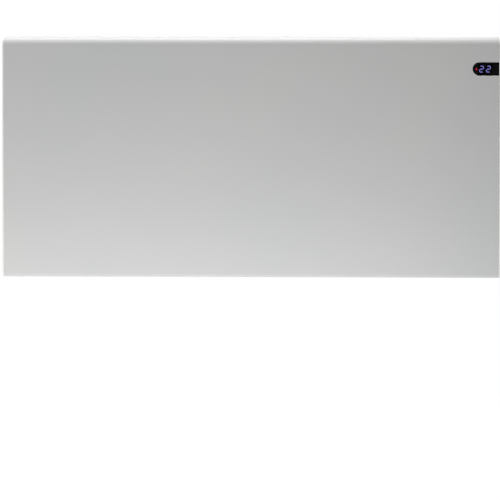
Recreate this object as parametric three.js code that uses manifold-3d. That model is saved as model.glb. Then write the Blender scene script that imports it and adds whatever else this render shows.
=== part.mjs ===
// Wall panel convector heater on its wall bracket, in millimetres with +Z up.
// The room side faces -Y and the wall is the plane y = 0. Heights are counted from the panel's lower edge and
// the whole object is then lowered, so that the origin is the centre of the upper bracket rail's wall face.
import * as THREE from 'three';
import { mergeVertices } from 'three/addons/utils/BufferGeometryUtils.js';
import Module from 'manifold-3d';

const wasm = await Module();
wasm.setup();

// Panel
const PANEL_WIDTH = 766;
const PANEL_HEIGHT = 370;
const SLAB_DEPTH = 24;
const BOX_DEPTH = 44;
const WALL_STANDOFF = 22;
const SHEET = 1;
const FIT = 0.3;
const BOTTOM_BEND = 4.5;
const TOP_RETURN = 20;
const BOTTOM_RETURN = 15;
const CAP_PLATE = 2.4;
const CAP_EDGE = 0.8;
const SPIGOT_LENGTH = 7.5;
const SPIGOT_WALL = 1.4;

// Display window and what lies behind it
const WINDOW_LENGTH = 40.6;
const WINDOW_HEIGHT = 20.6;
const WINDOW_DROP = 50;
const WINDOW_RECESS = 0.6;
const LENS_THICKNESS = 1.5;
const LENS_FLANGE = 2;
const DISPLAY_WIDTH = 20.6;
const DISPLAY_HEIGHT = 16;
const DISPLAY_DEPTH = 5.7;
const DISPLAY_INSET = 9.2;
const LAMP_INSET = 6;
const LAMP_WIDTH = 2.4;
const LAMP_HEIGHT = 3.6;
const SECOND_LAMP_INSET = 7;
const SECOND_LAMP_DROP = 5.4;
const SECOND_LAMP_SIZE = 1.8;
const LAMP_WEB = 1.5;
const BOARD = 1.2;
const SOLDER_GAP = 0.3;

// Push buttons in the right end cap
const BUTTON_DIAMETER = 16.4;
const BUTTON_FLANGE = 17.8;
const BUTTON_FLANGE_THICKNESS = 1.1;
const BUTTON_PITCH = 26;
const BUTTON_TRAVEL = 0.6;
const BUTTON_STEM = 4.4;
const BUTTON_COLLAR_WALL = 1.3;
const BUTTON_COLLAR_LENGTH = 4;
const SWITCH_SIZE = 6;
const SWITCH_BODY = 2.6;
const SWITCH_HEIGHT = 3.6;
const SWITCH_PLUNGER = 3;

// Convection box
const BOX_INSET = 38;
const BOX_BOTTOM = 30;
const BOX_DROP = 40;
const BOX_CORNER = 9;
const PAN_FLANGE_DROP = 14;
const PAN_FLANGE_BOTTOM = 6;
const SLOT_LENGTH = 44;
const SLOT_WIDTH = 9;
const SLOT_PITCH = 50;
const SLOT_ROWS = 2;
const SLOT_ROW_PITCH = 15;

// Heating side
const ELEMENT_LEFT_ROOM = 45;
const ELEMENT_RIGHT_ROOM = 38;
const ELEMENT_RISE = 80;
const ELEMENT_SETBACK = 30;
const ELEMENT_HUB = 7;
const FIN_LENGTH = 40;
const FIN_THICKNESS = 2;
const FIN_ANGLE = 28;
const FIN_BARB = 9;
const INSULATOR_FLANGE = 4;
const INSULATOR_RADIUS = 9;
const INSULATOR_NECK = 6;
const TERMINAL_RADIUS = 2;
const BRACKET_PLATE = 1.2;
const ELEMENT_BRACKET_WIDTH = 30;
const ELEMENT_BRACKET_FOOT = 16;
const SHIELD_SHEET = 0.8;
const SHIELD_CLEARANCE = 4;
const SHIELD_SIDE_GAP = 15;
const SHIELD_FLANGE = 12;
const CUTOUT_X = 150;
const CUTOUT_RISE = 105;
const CUTOUT_RADIUS = 8;
const CUTOUT_BODY = 9;

// Electric side
const BAFFLE_GAP = 8;
const BAFFLE_FOOT = 10;
const BAFFLE_DEPTH = 52;
const LEAD_HOLE_RADIUS = 9;
const LEAD_HOLE_RISES = [70, 166];
const LEAD_RADIUS = 1.4;
const TRAY_SIDE_GAP = 6;
const TRAY_WIDTH = 72;
const TRAY_RISE = 34;
const TRAY_HEIGHT = 166;
const TRAY_LEGS = 6.4;
const TRAY_WALL = 2;
const TRAY_RIM = 3;
const POWER_BOARD = 1.6;
const GLAND_RISE = 17;
const GLAND_RADIUS = 8;
const GLAND_COLLAR = 11;
const GLAND_COLLAR_LENGTH = 8;
const GLAND_THREAD = 9;
const GLAND_NUT = 5;
const GLAND_BORE = 3.6;
const EARTH_OFFSET = 28;
const EARTH_STUD_LENGTH = 10;
const HARNESS_INSET = 9;
const HARNESS_STEP = 10;
const HARNESS_RISE = 12;
const HARNESS_DROP = 22;
const HARNESS_TAIL = 21;
const SENSOR_INSET = 12.3;

// Screws
const SCREW_RADIUS = 1.6;
const SCREW_HEAD_RADIUS = 3.6;
const SCREW_HEAD = 2.2;
const SCREW_LENGTH = 9;
const SCREW_PLAY = 0.4;
const CAP_SCREW_INSET = 8;
const LOWER_SCREW_HEIGHT = 10.5;
const CAP_SCREW_DROP = 85;
const TOP_SCREW_DROP = 20;
const BOSS_SIZE = 9;
const BOSS_DEPTH = 13;
const BOSS_FLOOR = 1.5;

// Wall bracket and the hangers that hook onto it
const RAIL_LENGTH = 460;
const RAIL_HEIGHT = 40;
const RAIL_SHEET = 1.5;
const RAIL_CORNER = 6;
const UPPER_RAIL_DROP = 85;
const RAIL_SPACING = 200;
const RAIL_SLOT_INSET = 25;
const RAIL_SLOT_LENGTH = 14;
const RAIL_SLOT_WIDTH = 6;
const UPRIGHT_INSET = 60;
const UPRIGHT_WIDTH = 30;
const UPRIGHT_FLANGE = 13;
const UPRIGHT_DEPTH = 9.7;
const UPRIGHT_OVERHANG = 25;
const UPRIGHT_HEADROOM = 2;
const HANGER_WIDTH = 26;
const HANGER_SHEET = 1.5;
const HANGER_DROP = 115;
const HANGER_FOOT = 30;
const HANGER_LOWER_LIP = 14;
const HANGER_UPPER_LIP = 18;
const HANGER_LIP_Y = -12.7;
const HOOK_SHEET = 2;
const HOOK_LIP = 10;
const HOOK_LIP_Y = -17.5;
const HOOK_WIDTH = 20;
const LIFT_TRAVEL = 12;
const CATCH_WIDTH = 18;
const CATCH_THICKNESS = 4;
const CATCH_HEIGHT = 36;
const CATCH_OVERLAP = 4.5;
const CATCH_TRAVEL = 7;
const CATCH_HEADROOM = 3;
const CATCH_NOSE_REAR = -16.6;
const CATCH_NOSE_FRONT = -20;
const RIVET_DROP = 15;
const RIVET_RADIUS = 2;
const RIVET_HEAD_RADIUS = 4.2;
const RIVET_HEAD = 1.4;
const SPACER_OUTSET = 20;
const SPACER_HEIGHT = 70;
const SPACER_RADIUS = 11;

// Sides of the rounds that show most
const ROUND = 28;

// Planes and edges that several pieces share
const boxRear = -WALL_STANDOFF;
const slabRear = boxRear - BOX_DEPTH;
const slabFront = slabRear - SLAB_DEPTH;
const slabMiddle = (slabRear + slabFront) / 2;
const topRadius = SLAB_DEPTH / 2;
const capInner = PANEL_WIDTH / 2 - CAP_PLATE;
const coverEnd = capInner - FIT;
const flangeRear = slabRear - SHEET - FIT;
const flangeFront = flangeRear - SHEET;
const spigotRear = flangeFront - FIT;
const boxInner = boxRear - SHEET;
const boxWidth = PANEL_WIDTH - 2 * BOX_INSET;
const boxTop = PANEL_HEIGHT - BOX_DROP;
const panFlangeTop = PANEL_HEIGHT - PAN_FLANGE_DROP;
const capScrewHeights = [LOWER_SCREW_HEIGHT, PANEL_HEIGHT - CAP_SCREW_DROP];
const topScrewHeight = PANEL_HEIGHT - TOP_SCREW_DROP;
const windowHeight = PANEL_HEIGHT - WINDOW_DROP;
const windowLeft = coverEnd - WINDOW_LENGTH;
const lensFront = slabFront + WINDOW_RECESS;
const lensStep = slabFront + SHEET + FIT;
const lensRear = lensStep + LENS_THICKNESS;
const buttonHeights = [0, 1, 2].map((n) => PANEL_HEIGHT - topRadius - n * BUTTON_PITCH);
const buttonHole = BUTTON_DIAMETER / 2 + FIT;
const collarInner = BUTTON_FLANGE / 2 + FIT + 0.1;
const collarOuter = collarInner + BUTTON_COLLAR_WALL;
const elementY = boxInner - ELEMENT_SETBACK;
const elementHeight = BOX_BOTTOM + ELEMENT_RISE;
const trayRight = boxWidth / 2 - SHEET - TRAY_SIDE_GAP;
const trayLeft = trayRight - TRAY_WIDTH;
const trayBottom = BOX_BOTTOM + TRAY_RISE;
const baffleX = trayLeft - BAFFLE_GAP;
const elementLeft = ELEMENT_LEFT_ROOM - boxWidth / 2;
const elementRight = baffleX - ELEMENT_RIGHT_ROOM;
const cutoutHeight = elementHeight + CUTOUT_RISE;
const leadHoleHeights = LEAD_HOLE_RISES.map((rise) => BOX_BOTTOM + rise);
const glandX = (trayLeft + trayRight) / 2;
const glandHeight = BOX_BOTTOM + GLAND_RISE;
const earthX = glandX + EARTH_OFFSET;
const sensorX = windowLeft + SENSOR_INSET;
const upperRailHeight = PANEL_HEIGHT - UPPER_RAIL_DROP;
const lowerRailHeight = upperRailHeight - RAIL_SPACING;
const hangerTop = PANEL_HEIGHT - HANGER_DROP;
const hangerBottom = hangerTop - HANGER_FOOT;
const hookNeckTop = hangerBottom - HANGER_LOWER_LIP - FIT;
const catchBridge = hangerTop + HANGER_UPPER_LIP + LIFT_TRAVEL + CATCH_HEADROOM;
const catchTop = catchBridge + CATCH_HEIGHT;
const rivetHeight = catchTop - RIVET_DROP;
const railFront = -RAIL_SHEET;
const uprightX = RAIL_LENGTH / 2 - UPRIGHT_INSET;
const spacerX = RAIL_LENGTH / 2 + SPACER_OUTSET;
const uprightRear = railFront - FIT;
const uprightFront = uprightRear - UPRIGHT_DEPTH;

// The switch stack behind the buttons, from the cap's outer face inwards
const buttonFace = PANEL_WIDTH / 2;
const flangeOuter = capInner - FIT;
const stemEnd = flangeOuter - BUTTON_FLANGE_THICKNESS - 1.9;
const plungerTop = stemEnd - BUTTON_TRAVEL - 0.1;
const switchBoardOuter = plungerTop - SWITCH_HEIGHT - SOLDER_GAP;
const switchBoardInner = switchBoardOuter - BOARD;
const housingRight = switchBoardInner - FIT;
const housingWall = 1.2;
const housingBottom = capScrewHeights[1] + BOSS_SIZE / 2 + FIT;
const housingTop = PANEL_HEIGHT - 5;
const pocketLow = windowHeight - WINDOW_HEIGHT / 2 - LENS_FLANGE - 2 * FIT;
const pocketHigh = windowHeight + WINDOW_HEIGHT / 2 + LENS_FLANGE + 2 * FIT;
const displayFront = lensRear + FIT;
const displayRear = displayFront + DISPLAY_DEPTH;
const displayBoardFront = displayRear + SOLDER_GAP;
const displayBoardRear = displayBoardFront + BOARD;
const postLength = 2;
const housingFloorFront = displayBoardRear + FIT + postLength;
const housingFloorRear = housingFloorFront + housingWall;
const housingLeft = windowLeft + 1;

const finishes = {
  panelPaint: { color: 0xc8c8c7, roughness: 0.5, metalness: 0 },
  capPlastic: { color: 0xb2b1ad, roughness: 0.55, metalness: 0 },
  smokedPlastic: { color: 0x17171a, roughness: 0.12, metalness: 0 },
  zincSteel: { color: 0xb4b7ba, roughness: 0.4, metalness: 1 },
  boardGreen: { color: 0x1f5a3a, roughness: 0.5, metalness: 0 },
  blackPlastic: { color: 0x1d1d1f, roughness: 0.5, metalness: 0 },
  whitePlastic: { color: 0xe2e1dc, roughness: 0.5, metalness: 0 },
  aluminium: { color: 0xc2c4c6, roughness: 0.45, metalness: 1 },
  ceramic: { color: 0xe9e3d4, roughness: 0.6, metalness: 0 },
  redLamp: { color: 0xa7232f, roughness: 0.3, metalness: 0 },
  leadSleeve: { color: 0xd9d6cc, roughness: 0.6, metalness: 0 },
  earthSleeve: { color: 0x6f9a2c, roughness: 0.6, metalness: 0 },
  rubber: { color: 0x2b2b2b, roughness: 0.8, metalness: 0 },
};

// Turns a closed geometry into a solid whose faces point outwards.
function toSolid(geometry) {
  const loose = geometry.index ? geometry.toNonIndexed() : geometry.clone();
  loose.deleteAttribute('normal');
  loose.deleteAttribute('uv');
  const merged = mergeVertices(loose, 1e-4);
  const triangles = Uint32Array.from(merged.index.array);
  const build = () => new wasm.Manifold(new wasm.Mesh({
    numProp: 3,
    vertProperties: Float32Array.from(merged.attributes.position.array),
    triVerts: triangles,
  }));
  const solid = build();
  if (solid.volume() > 0) return solid;
  for (let k = 0; k < triangles.length; k += 3) {
    [triangles[k], triangles[k + 1]] = [triangles[k + 1], triangles[k]];
  }
  return build();
}

function toGeometry(solid) {
  const mesh = solid.getMesh();
  const geometry = new THREE.BufferGeometry();
  geometry.setAttribute('position', new THREE.BufferAttribute(Float32Array.from(mesh.vertProperties), 3));
  geometry.setIndex(new THREE.BufferAttribute(Uint32Array.from(mesh.triVerts), 1));
  geometry.computeVertexNormals();
  return geometry;
}

const join = (first, ...others) => others.reduce((whole, part) => whole.add(part), first);
const cut = (first, ...tools) => tools.reduce((rest, tool) => rest.subtract(tool), first);

function block([x0, x1], [y0, y1], [z0, z1]) {
  const geometry = new THREE.BoxGeometry(Math.abs(x1 - x0), Math.abs(y1 - y0), Math.abs(z1 - z0));
  geometry.translate((x0 + x1) / 2, (y0 + y1) / 2, (z0 + z1) / 2);
  return toSolid(geometry);
}

// Maps a geometry drawn in (u, v) and extruded along w onto the axis it runs along.
const placings = {
  x: new THREE.Matrix4().set(0, 0, 1, 0, 1, 0, 0, 0, 0, 1, 0, 0, 0, 0, 0, 1),
  y: new THREE.Matrix4().set(1, 0, 0, 0, 0, 0, -1, 0, 0, 1, 0, 0, 0, 0, 0, 1),
  z: new THREE.Matrix4(),
};

// Extrudes a shape along an axis: (y, z) along x, (x, z) along -y, or (x, y) along z.
function prism(axis, shape, from, to, options = {}) {
  const depth = Math.abs(to - from);
  const settings = { depth, bevelEnabled: false, ...options };
  const geometry = new THREE.ExtrudeGeometry(shape, settings);
  const start = axis === 'y' ? -Math.max(from, to) : Math.min(from, to);
  geometry.translate(0, 0, start);
  geometry.applyMatrix4(placings[axis]);
  return toSolid(geometry);
}

// A round bar along an axis, centred on the two other coordinates in x, y, z order.
function rod(axis, [a, b], radius, from, to, sides = 20) {
  const geometry = new THREE.CylinderGeometry(radius, radius, Math.abs(to - from), sides);
  if (axis === 'x') geometry.rotateZ(Math.PI / 2);
  if (axis === 'z') geometry.rotateX(Math.PI / 2);
  const middle = (from + to) / 2;
  const place = { x: [middle, a, b], y: [a, middle, b], z: [a, b, middle] }[axis];
  geometry.translate(...place);
  return toSolid(geometry);
}

// A turned piece: the profile holds [radius, distance along the axis] pairs.
function turned(axis, [a, b], profile, sides = 24) {
  const points = profile.map(([radius, along]) => new THREE.Vector2(radius, along));
  const geometry = new THREE.LatheGeometry(points, sides);
  if (axis === 'x') geometry.rotateZ(-Math.PI / 2);
  if (axis === 'z') geometry.rotateX(Math.PI / 2);
  const place = { x: [0, a, b], y: [a, 0, b], z: [a, b, 0] }[axis];
  geometry.translate(...place);
  return toSolid(geometry);
}

function outline(points) {
  return new THREE.Shape(points.map(([u, v]) => new THREE.Vector2(u, v)));
}

// Points along an arc, from one angle to another in degrees.
function arc(u, v, radius, from, to, steps) {
  return Array.from({ length: steps + 1 }, (_, k) => {
    const angle = THREE.MathUtils.degToRad(from + (to - from) * k / steps);
    return [u + radius * Math.cos(angle), v + radius * Math.sin(angle)];
  });
}

// An upright rectangle with round corners.
function rectangle(u0, u1, v0, v1, corner, steps) {
  return outline([
    ...arc(u1 - corner, v0 + corner, corner, -90, 0, steps),
    ...arc(u1 - corner, v1 - corner, corner, 0, 90, steps),
    ...arc(u0 + corner, v1 - corner, corner, 90, 180, steps),
    ...arc(u0 + corner, v0 + corner, corner, 180, 270, steps),
  ]);
}

// The section of a bent strip. Each corner of its middle line is [u, v, bend radius of the middle line].
function bentStrip(corners, thickness, steps = 5) {
  const middle = [];
  const unit = (from, to) => new THREE.Vector2(to[0] - from[0], to[1] - from[1]).normalize();
  const add = (point, along) => middle.push({ point, side: new THREE.Vector2(-along.y, along.x) });
  corners.forEach((corner, n) => {
    const here = new THREE.Vector2(corner[0], corner[1]);
    if (n === 0) return add(here, unit(corner, corners[1]));
    if (n === corners.length - 1) return add(here, unit(corners[n - 1], corner));
    const before = unit(corners[n - 1], corner);
    const after = unit(corner, corners[n + 1]);
    const turn = Math.atan2(before.cross(after), before.dot(after));
    const radius = corner[2];
    const start = here.clone().addScaledVector(before, -radius * Math.tan(Math.abs(turn) / 2));
    const side = new THREE.Vector2(-before.y, before.x).multiplyScalar(Math.sign(turn));
    const centre = start.clone().addScaledVector(side, radius);
    for (let k = 0; k <= steps; k += 1) {
      const angle = turn * k / steps;
      const along = before.clone().rotateAround(new THREE.Vector2(), angle);
      add(start.clone().rotateAround(centre, angle), along);
    }
    return undefined;
  });
  const offset = (sign) => middle.map(({ point, side }) => {
    const moved = point.clone().addScaledVector(side, sign * thickness / 2);
    return [moved.x, moved.y];
  });
  return outline([...offset(1), ...offset(-1).reverse()]);
}

// The slab's end view, drawn in by an inset: full-round top and small bends at the foot.
function slabOutline(inset) {
  const foot = BOTTOM_BEND - inset;
  const low = inset + foot;
  return outline([
    ...arc(slabFront + inset + foot, low, foot, 180, 270, 4),
    ...arc(slabRear - inset - foot, low, foot, 270, 360, 4),
    ...arc(slabMiddle, PANEL_HEIGHT - topRadius, topRadius - inset, 0, 180, 16),
  ]);
}

// The window's outline: a round left end, square at the right.
function windowOutline(grow, right) {
  const radius = WINDOW_HEIGHT / 2 + grow;
  const centre = windowLeft + WINDOW_HEIGHT / 2;
  return outline([
    ...arc(centre, windowHeight, radius, 90, 270, 16),
    [right, windowHeight - radius],
    [right, windowHeight + radius],
  ]);
}

// A lead along a smooth curve, with a round section.
function lead(points, radius = LEAD_RADIUS) {
  const curve = new THREE.CatmullRomCurve3(points.map((p) => new THREE.Vector3(...p)), false, 'centripetal');
  const section = new THREE.Shape().absarc(0, 0, radius, 0, 2 * Math.PI, false);
  const steps = Math.max(12, Math.round(curve.getLength() / 18));
  return toSolid(new THREE.ExtrudeGeometry(section, { steps, extrudePath: curve, curveSegments: 3 }));
}

const heater = new THREE.Group();
heater.name = 'heater_on_bracket';
const assemblies = {};

// Adds a finished piece to one of the named sub-assemblies.
function piece(assembly, name, finish, solid) {
  if (!assemblies[assembly]) {
    assemblies[assembly] = new THREE.Group();
    assemblies[assembly].name = assembly;
    heater.add(assemblies[assembly]);
  }
  const mesh = new THREE.Mesh(toGeometry(solid), new THREE.MeshStandardMaterial(finishes[finish]));
  mesh.name = name;
  assemblies[assembly].add(mesh);
}

// Casing

function screwHole(x, z) {
  return rod('y', [x, z], SCREW_RADIUS + SCREW_PLAY, slabRear + 1, flangeFront - 1, 12);
}

const capScrewX = capInner - CAP_SCREW_INSET;
const coverScrewPlaces = [[0, topScrewHeight], [0, capScrewHeights[0]]];
const capScrewPlaces = [-1, 1].flatMap((side) => capScrewHeights.map((z) => [side * capScrewX, z]));

function frontCover() {
  const half = SHEET / 2;
  const rear = slabRear - half;
  const front = slabFront + half;
  const top = PANEL_HEIGHT - half;
  const section = bentStrip([
    [rear, PANEL_HEIGHT - topRadius - TOP_RETURN],
    [rear, top, topRadius - half],
    [front, top, topRadius - half],
    [front, half, BOTTOM_BEND - half],
    [rear, half, BOTTOM_BEND - half],
    [rear, BOTTOM_RETURN],
  ], SHEET, 8);
  const sheet = prism('x', section, -coverEnd, coverEnd);
  const notch = prism('y', windowOutline(0, coverEnd + 1), slabFront + SHEET + 1, slabFront - 1);
  const holes = [...coverScrewPlaces, ...capScrewPlaces].map(([x, z]) => screwHole(x, z));
  return cut(sheet, notch, ...holes);
}

function capPlate(side) {
  const bevel = { bevelEnabled: true, bevelThickness: CAP_EDGE, bevelSize: CAP_EDGE, bevelSegments: 2 };
  const settings = { ...bevel, bevelOffset: -CAP_EDGE };
  const inner = side * capInner;
  const outer = side * PANEL_WIDTH / 2;
  const low = Math.min(inner, outer) + CAP_EDGE;
  const high = Math.max(inner, outer) - CAP_EDGE;
  return prism('x', slabOutline(0), low, high, settings);
}

// The rim that slides into the cover's end, flat behind where the pan's flange passes.
function capSpigot(side) {
  const from = side * capInner;
  const to = side * (capInner - SPIGOT_LENGTH);
  const span = [Math.min(from, to), Math.max(from, to)];
  const ring = (inset, flat, reach) => cut(
    prism('x', slabOutline(inset), span[0] - reach, span[1] + reach),
    block([span[0] - 2, span[1] + 2], [flat, slabRear + 2], [-1, panFlangeTop + 1]),
  );
  const inset = SHEET + FIT;
  return cut(ring(inset, spigotRear, 0), ring(inset + SPIGOT_WALL, spigotRear - SPIGOT_WALL, 1));
}

function capBosses(side) {
  const outer = side * capInner;
  const inner = side * (capScrewX - BOSS_SIZE / 2);
  return capScrewHeights.map((z) => block([inner, outer], [spigotRear, spigotRear - BOSS_DEPTH],
    [z - BOSS_SIZE / 2, z + BOSS_SIZE / 2]));
}

function capPilots(side) {
  return capScrewHeights.map((z) => rod('y', [side * capScrewX, z], SCREW_RADIUS + FIT, spigotRear + 1,
    spigotRear - BOSS_DEPTH + BOSS_FLOOR, 12));
}

function endCapLeft() {
  return cut(join(capPlate(-1), capSpigot(-1), ...capBosses(-1)), ...capPilots(-1));
}

function endCapRight() {
  const blank = join(capPlate(1), capSpigot(1), ...capBosses(1));
  const collars = buttonHeights.map((z) => rod('x', [slabMiddle, z], collarOuter, capInner,
    capInner - BUTTON_COLLAR_LENGTH, ROUND));
  const bores = buttonHeights.map((z) => rod('x', [slabMiddle, z], collarInner, capInner,
    capInner - SPIGOT_LENGTH - 1, ROUND));
  const holes = buttonHeights.map((z) => rod('x', [slabMiddle, z], buttonHole, capInner - 1, buttonFace + 1,
    ROUND));
  const behind = [capInner - SPIGOT_LENGTH - 1, capInner];
  const pocket = block(behind, [slabFront - 1, displayFront], [pocketLow, pocketHigh]);
  const flangeRoom = block(behind, [spigotRear, slabRear + 1], [0, panFlangeTop + 1]);
  const frontRoom = block(behind, [slabFront - 1, slabFront + SHEET + FIT], [0, PANEL_HEIGHT - topRadius]);
  const roof = cut(
    block(behind, [slabFront - 1, slabRear + 1], [PANEL_HEIGHT - topRadius, PANEL_HEIGHT + 1]),
    prism('x', slabOutline(SHEET + FIT), behind[0] - 1, behind[1] + 1),
  );
  const ribHeight = (buttonHeights[0] + buttonHeights[1]) / 2;
  const rib = block([switchBoardOuter + FIT, capInner], [slabMiddle - 6, slabMiddle + 6],
    [ribHeight - 1.5, ribHeight + 1.5]);
  const collared = cut(join(...collars), pocket, flangeRoom, frontRoom, roof);
  return cut(join(cut(blank, pocket), collared, rib), ...bores, ...holes, ...capPilots(1));
}

function grilleSlots(z) {
  const count = Math.floor((boxWidth - 2 * BOX_CORNER - SLOT_LENGTH) / SLOT_PITCH) + 1;
  const middle = (boxInner + slabRear) / 2;
  const slots = [];
  for (let row = 0; row < SLOT_ROWS; row += 1) {
    const y = middle + (row - (SLOT_ROWS - 1) / 2) * SLOT_ROW_PITCH;
    for (let n = 0; n < count; n += 1) {
      const x = (n - (count - 1) / 2) * SLOT_PITCH;
      const ends = [x - SLOT_LENGTH / 2, x + SLOT_LENGTH / 2];
      slots.push(block(ends, [y - SLOT_WIDTH / 2, y + SLOT_WIDTH / 2], [z - SHEET * 2, z + SHEET * 2]));
    }
  }
  return slots;
}

function rearPan() {
  const half = boxWidth / 2;
  const shell = prism('y', rectangle(-half, half, BOX_BOTTOM, boxTop, BOX_CORNER, 5), boxRear, flangeFront);
  const room = prism('y', rectangle(-half + SHEET, half - SHEET, BOX_BOTTOM + SHEET, boxTop - SHEET,
    BOX_CORNER - SHEET, 5), boxInner, flangeFront - 1);
  const flangeEnd = coverEnd - FIT;
  const flange = block([-flangeEnd, flangeEnd], [flangeRear, flangeFront], [PAN_FLANGE_BOTTOM, panFlangeTop]);
  const holes = [...coverScrewPlaces, ...capScrewPlaces].map(([x, z]) => screwHole(x, z));
  const glandHole = rod('y', [glandX, glandHeight], GLAND_RADIUS + FIT, boxRear + 1, boxInner - 1, 24);
  const slots = join(...grilleSlots(BOX_BOTTOM + SHEET / 2), ...grilleSlots(boxTop - SHEET / 2));
  return cut(join(shell, flange), room, ...holes, glandHole, slots);
}

function screw([x, z], outer) {
  const seat = outer + FIT;
  const tip = seat - SCREW_LENGTH;
  return turned('y', [x, z], [
    [0, tip], [SCREW_RADIUS * 0.5, tip], [SCREW_RADIUS, tip + 2], [SCREW_RADIUS, seat],
    [SCREW_HEAD_RADIUS, seat], [SCREW_HEAD_RADIUS * 0.9, seat + SCREW_HEAD * 0.6],
    [SCREW_HEAD_RADIUS * 0.5, seat + SCREW_HEAD], [0, seat + SCREW_HEAD],
  ], 12);
}

// The sheet that a screw's head lies on: the cover's returns, or the pan's flange between them.
function screwSeat(z) {
  const onReturn = z < BOTTOM_RETURN || z > PANEL_HEIGHT - topRadius - TOP_RETURN;
  return onReturn ? slabRear : flangeRear;
}

piece('casing', 'front_cover', 'panelPaint', frontCover());
piece('casing', 'end_cap_left', 'capPlastic', endCapLeft());
piece('casing', 'end_cap_right', 'capPlastic', endCapRight());
piece('casing', 'rear_pan', 'panelPaint', rearPan());
capScrewPlaces.forEach(([x, z]) => {
  const name = `screw_cap_${x < 0 ? 'left' : 'right'}_${z < PANEL_HEIGHT / 2 ? 'lower' : 'upper'}`;
  piece('casing', name, 'zincSteel', screw([x, z], screwSeat(z)));
});
coverScrewPlaces.forEach(([x, z]) => {
  const name = `screw_cover_${z < PANEL_HEIGHT / 2 ? 'lower' : 'upper'}`;
  piece('casing', name, 'zincSteel', screw([x, z], screwSeat(z)));
});

// Controls

function displayWindow() {
  const front = prism('y', windowOutline(-FIT, coverEnd), lensStep, lensFront);
  const flange = prism('y', windowOutline(LENS_FLANGE, coverEnd), lensRear, lensStep);
  return join(front, flange);
}

const displayLeft = windowLeft + DISPLAY_INSET;

function displayModule() {
  const low = windowHeight - DISPLAY_HEIGHT / 2;
  return block([displayLeft, displayLeft + DISPLAY_WIDTH], [displayFront, displayRear],
    [low, low + DISPLAY_HEIGHT]);
}

function displayBoard() {
  const left = housingLeft + housingWall + FIT;
  const low = pocketLow - 4;
  const high = pocketHigh + 4;
  return block([left, housingRight - housingWall - FIT], [displayBoardFront, displayBoardRear], [low, high]);
}

// One clear moulding carries the light of both indicators to the window.
function lampGuide() {
  const pad = (inset, drop, width, height, front) => {
    const x = windowLeft + inset;
    const z = windowHeight - drop;
    return block([x - width / 2, x + width / 2], [front, displayRear], [z - height / 2, z + height / 2]);
  };
  const web = pad((LAMP_INSET + SECOND_LAMP_INSET) / 2, SECOND_LAMP_DROP / 2, LAMP_WIDTH, SECOND_LAMP_DROP,
    displayRear - LAMP_WEB);
  return join(
    pad(LAMP_INSET, 0, LAMP_WIDTH, LAMP_HEIGHT, displayFront),
    pad(SECOND_LAMP_INSET, SECOND_LAMP_DROP, SECOND_LAMP_SIZE, SECOND_LAMP_SIZE, displayFront),
    web,
  );
}

// The tray behind the window: a shallow box for the display board and a wall behind the switch board.
function controlHousing() {
  const low = pocketLow - 4 - FIT - housingWall;
  const high = pocketHigh + 4 + FIT + housingWall;
  const left = housingLeft;
  const tray = cut(
    block([left, housingRight], [housingFloorRear, displayFront], [low, high]),
    block([left + housingWall, housingRight - housingWall], [housingFloorFront, displayFront - 1],
      [low + housingWall, high - housingWall]),
  );
  const wallDepth = SLAB_DEPTH / 2 - SHEET - FIT - SPIGOT_WALL - 1;
  const wall = block([housingRight - housingWall, housingRight], [slabMiddle - wallDepth, slabMiddle + wallDepth],
    [housingBottom, housingTop]);
  const middleX = (left + housingRight) / 2;
  const posts = [-1, 1].flatMap((sideX) => [-1, 1].map((sideZ) => rod('y',
    [middleX + sideX * 10, windowHeight + sideZ * 13], 1.5, housingFloorFront, displayBoardRear + FIT, 10)));
  return join(tray, wall, ...posts);
}

function switchBoard() {
  const depth = SLAB_DEPTH / 2 - SHEET - FIT - SPIGOT_WALL - 1;
  return block([switchBoardInner, switchBoardOuter], [slabMiddle - depth, slabMiddle + depth],
    [housingBottom + 6, housingTop]);
}

function tactSwitch(z) {
  const base = switchBoardOuter + SOLDER_GAP;
  const half = SWITCH_SIZE / 2;
  return join(
    block([base, base + SWITCH_BODY], [slabMiddle - half, slabMiddle + half], [z - half, z + half]),
    rod('x', [slabMiddle, z], SWITCH_PLUNGER / 2, base + SWITCH_BODY - 0.5, plungerTop, 12),
  );
}

function pushButton(z) {
  const radius = BUTTON_DIAMETER / 2;
  const flangeInner = flangeOuter - BUTTON_FLANGE_THICKNESS;
  const edge = 0.4;
  return turned('x', [slabMiddle, z], [
    [0, stemEnd], [BUTTON_STEM / 2, stemEnd], [BUTTON_STEM / 2, flangeInner], [BUTTON_FLANGE / 2, flangeInner],
    [BUTTON_FLANGE / 2, flangeOuter], [radius, flangeOuter], [radius, buttonFace - edge],
    [radius - edge, buttonFace], [0, buttonFace],
  ], ROUND);
}

function roomSensor() {
  const floor = SHEET + FIT;
  const body = block([sensorX - 6, sensorX + 6], [slabMiddle - 5, slabMiddle + 3], [floor, floor + 5]);
  return join(body, rod('z', [sensorX, slabMiddle - 1], 2, floor + 4.5, floor + 8, 10));
}

const sensorTop = SHEET + FIT + 8;
const housingLow = pocketLow - 4 - FIT - housingWall;

piece('controls', 'display_window', 'smokedPlastic', displayWindow());
piece('controls', 'display_module', 'blackPlastic', displayModule());
piece('controls', 'display_board', 'boardGreen', displayBoard());
piece('controls', 'lamp_guide', 'redLamp', lampGuide());
piece('controls', 'control_housing', 'blackPlastic', controlHousing());
piece('controls', 'switch_board', 'boardGreen', switchBoard());
['ok', 'plus', 'minus'].forEach((word, n) => {
  piece('controls', `tact_switch_${word}`, 'blackPlastic', tactSwitch(buttonHeights[n]));
  piece('controls', `button_${word}`, 'capPlastic', pushButton(buttonHeights[n]));
});
piece('controls', 'room_sensor', 'whitePlastic', roomSensor());
piece('controls', 'sensor_lead', 'leadSleeve', lead([
  [sensorX, slabMiddle - 1, sensorTop + FIT],
  [sensorX, slabMiddle - 1, sensorTop + 30],
  [sensorX + 3, slabMiddle - 2, housingLow / 2],
  [sensorX, slabMiddle - 4, housingLow - 25],
  [sensorX, slabMiddle - 4, housingLow - FIT],
], 1));

// Heating side

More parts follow.
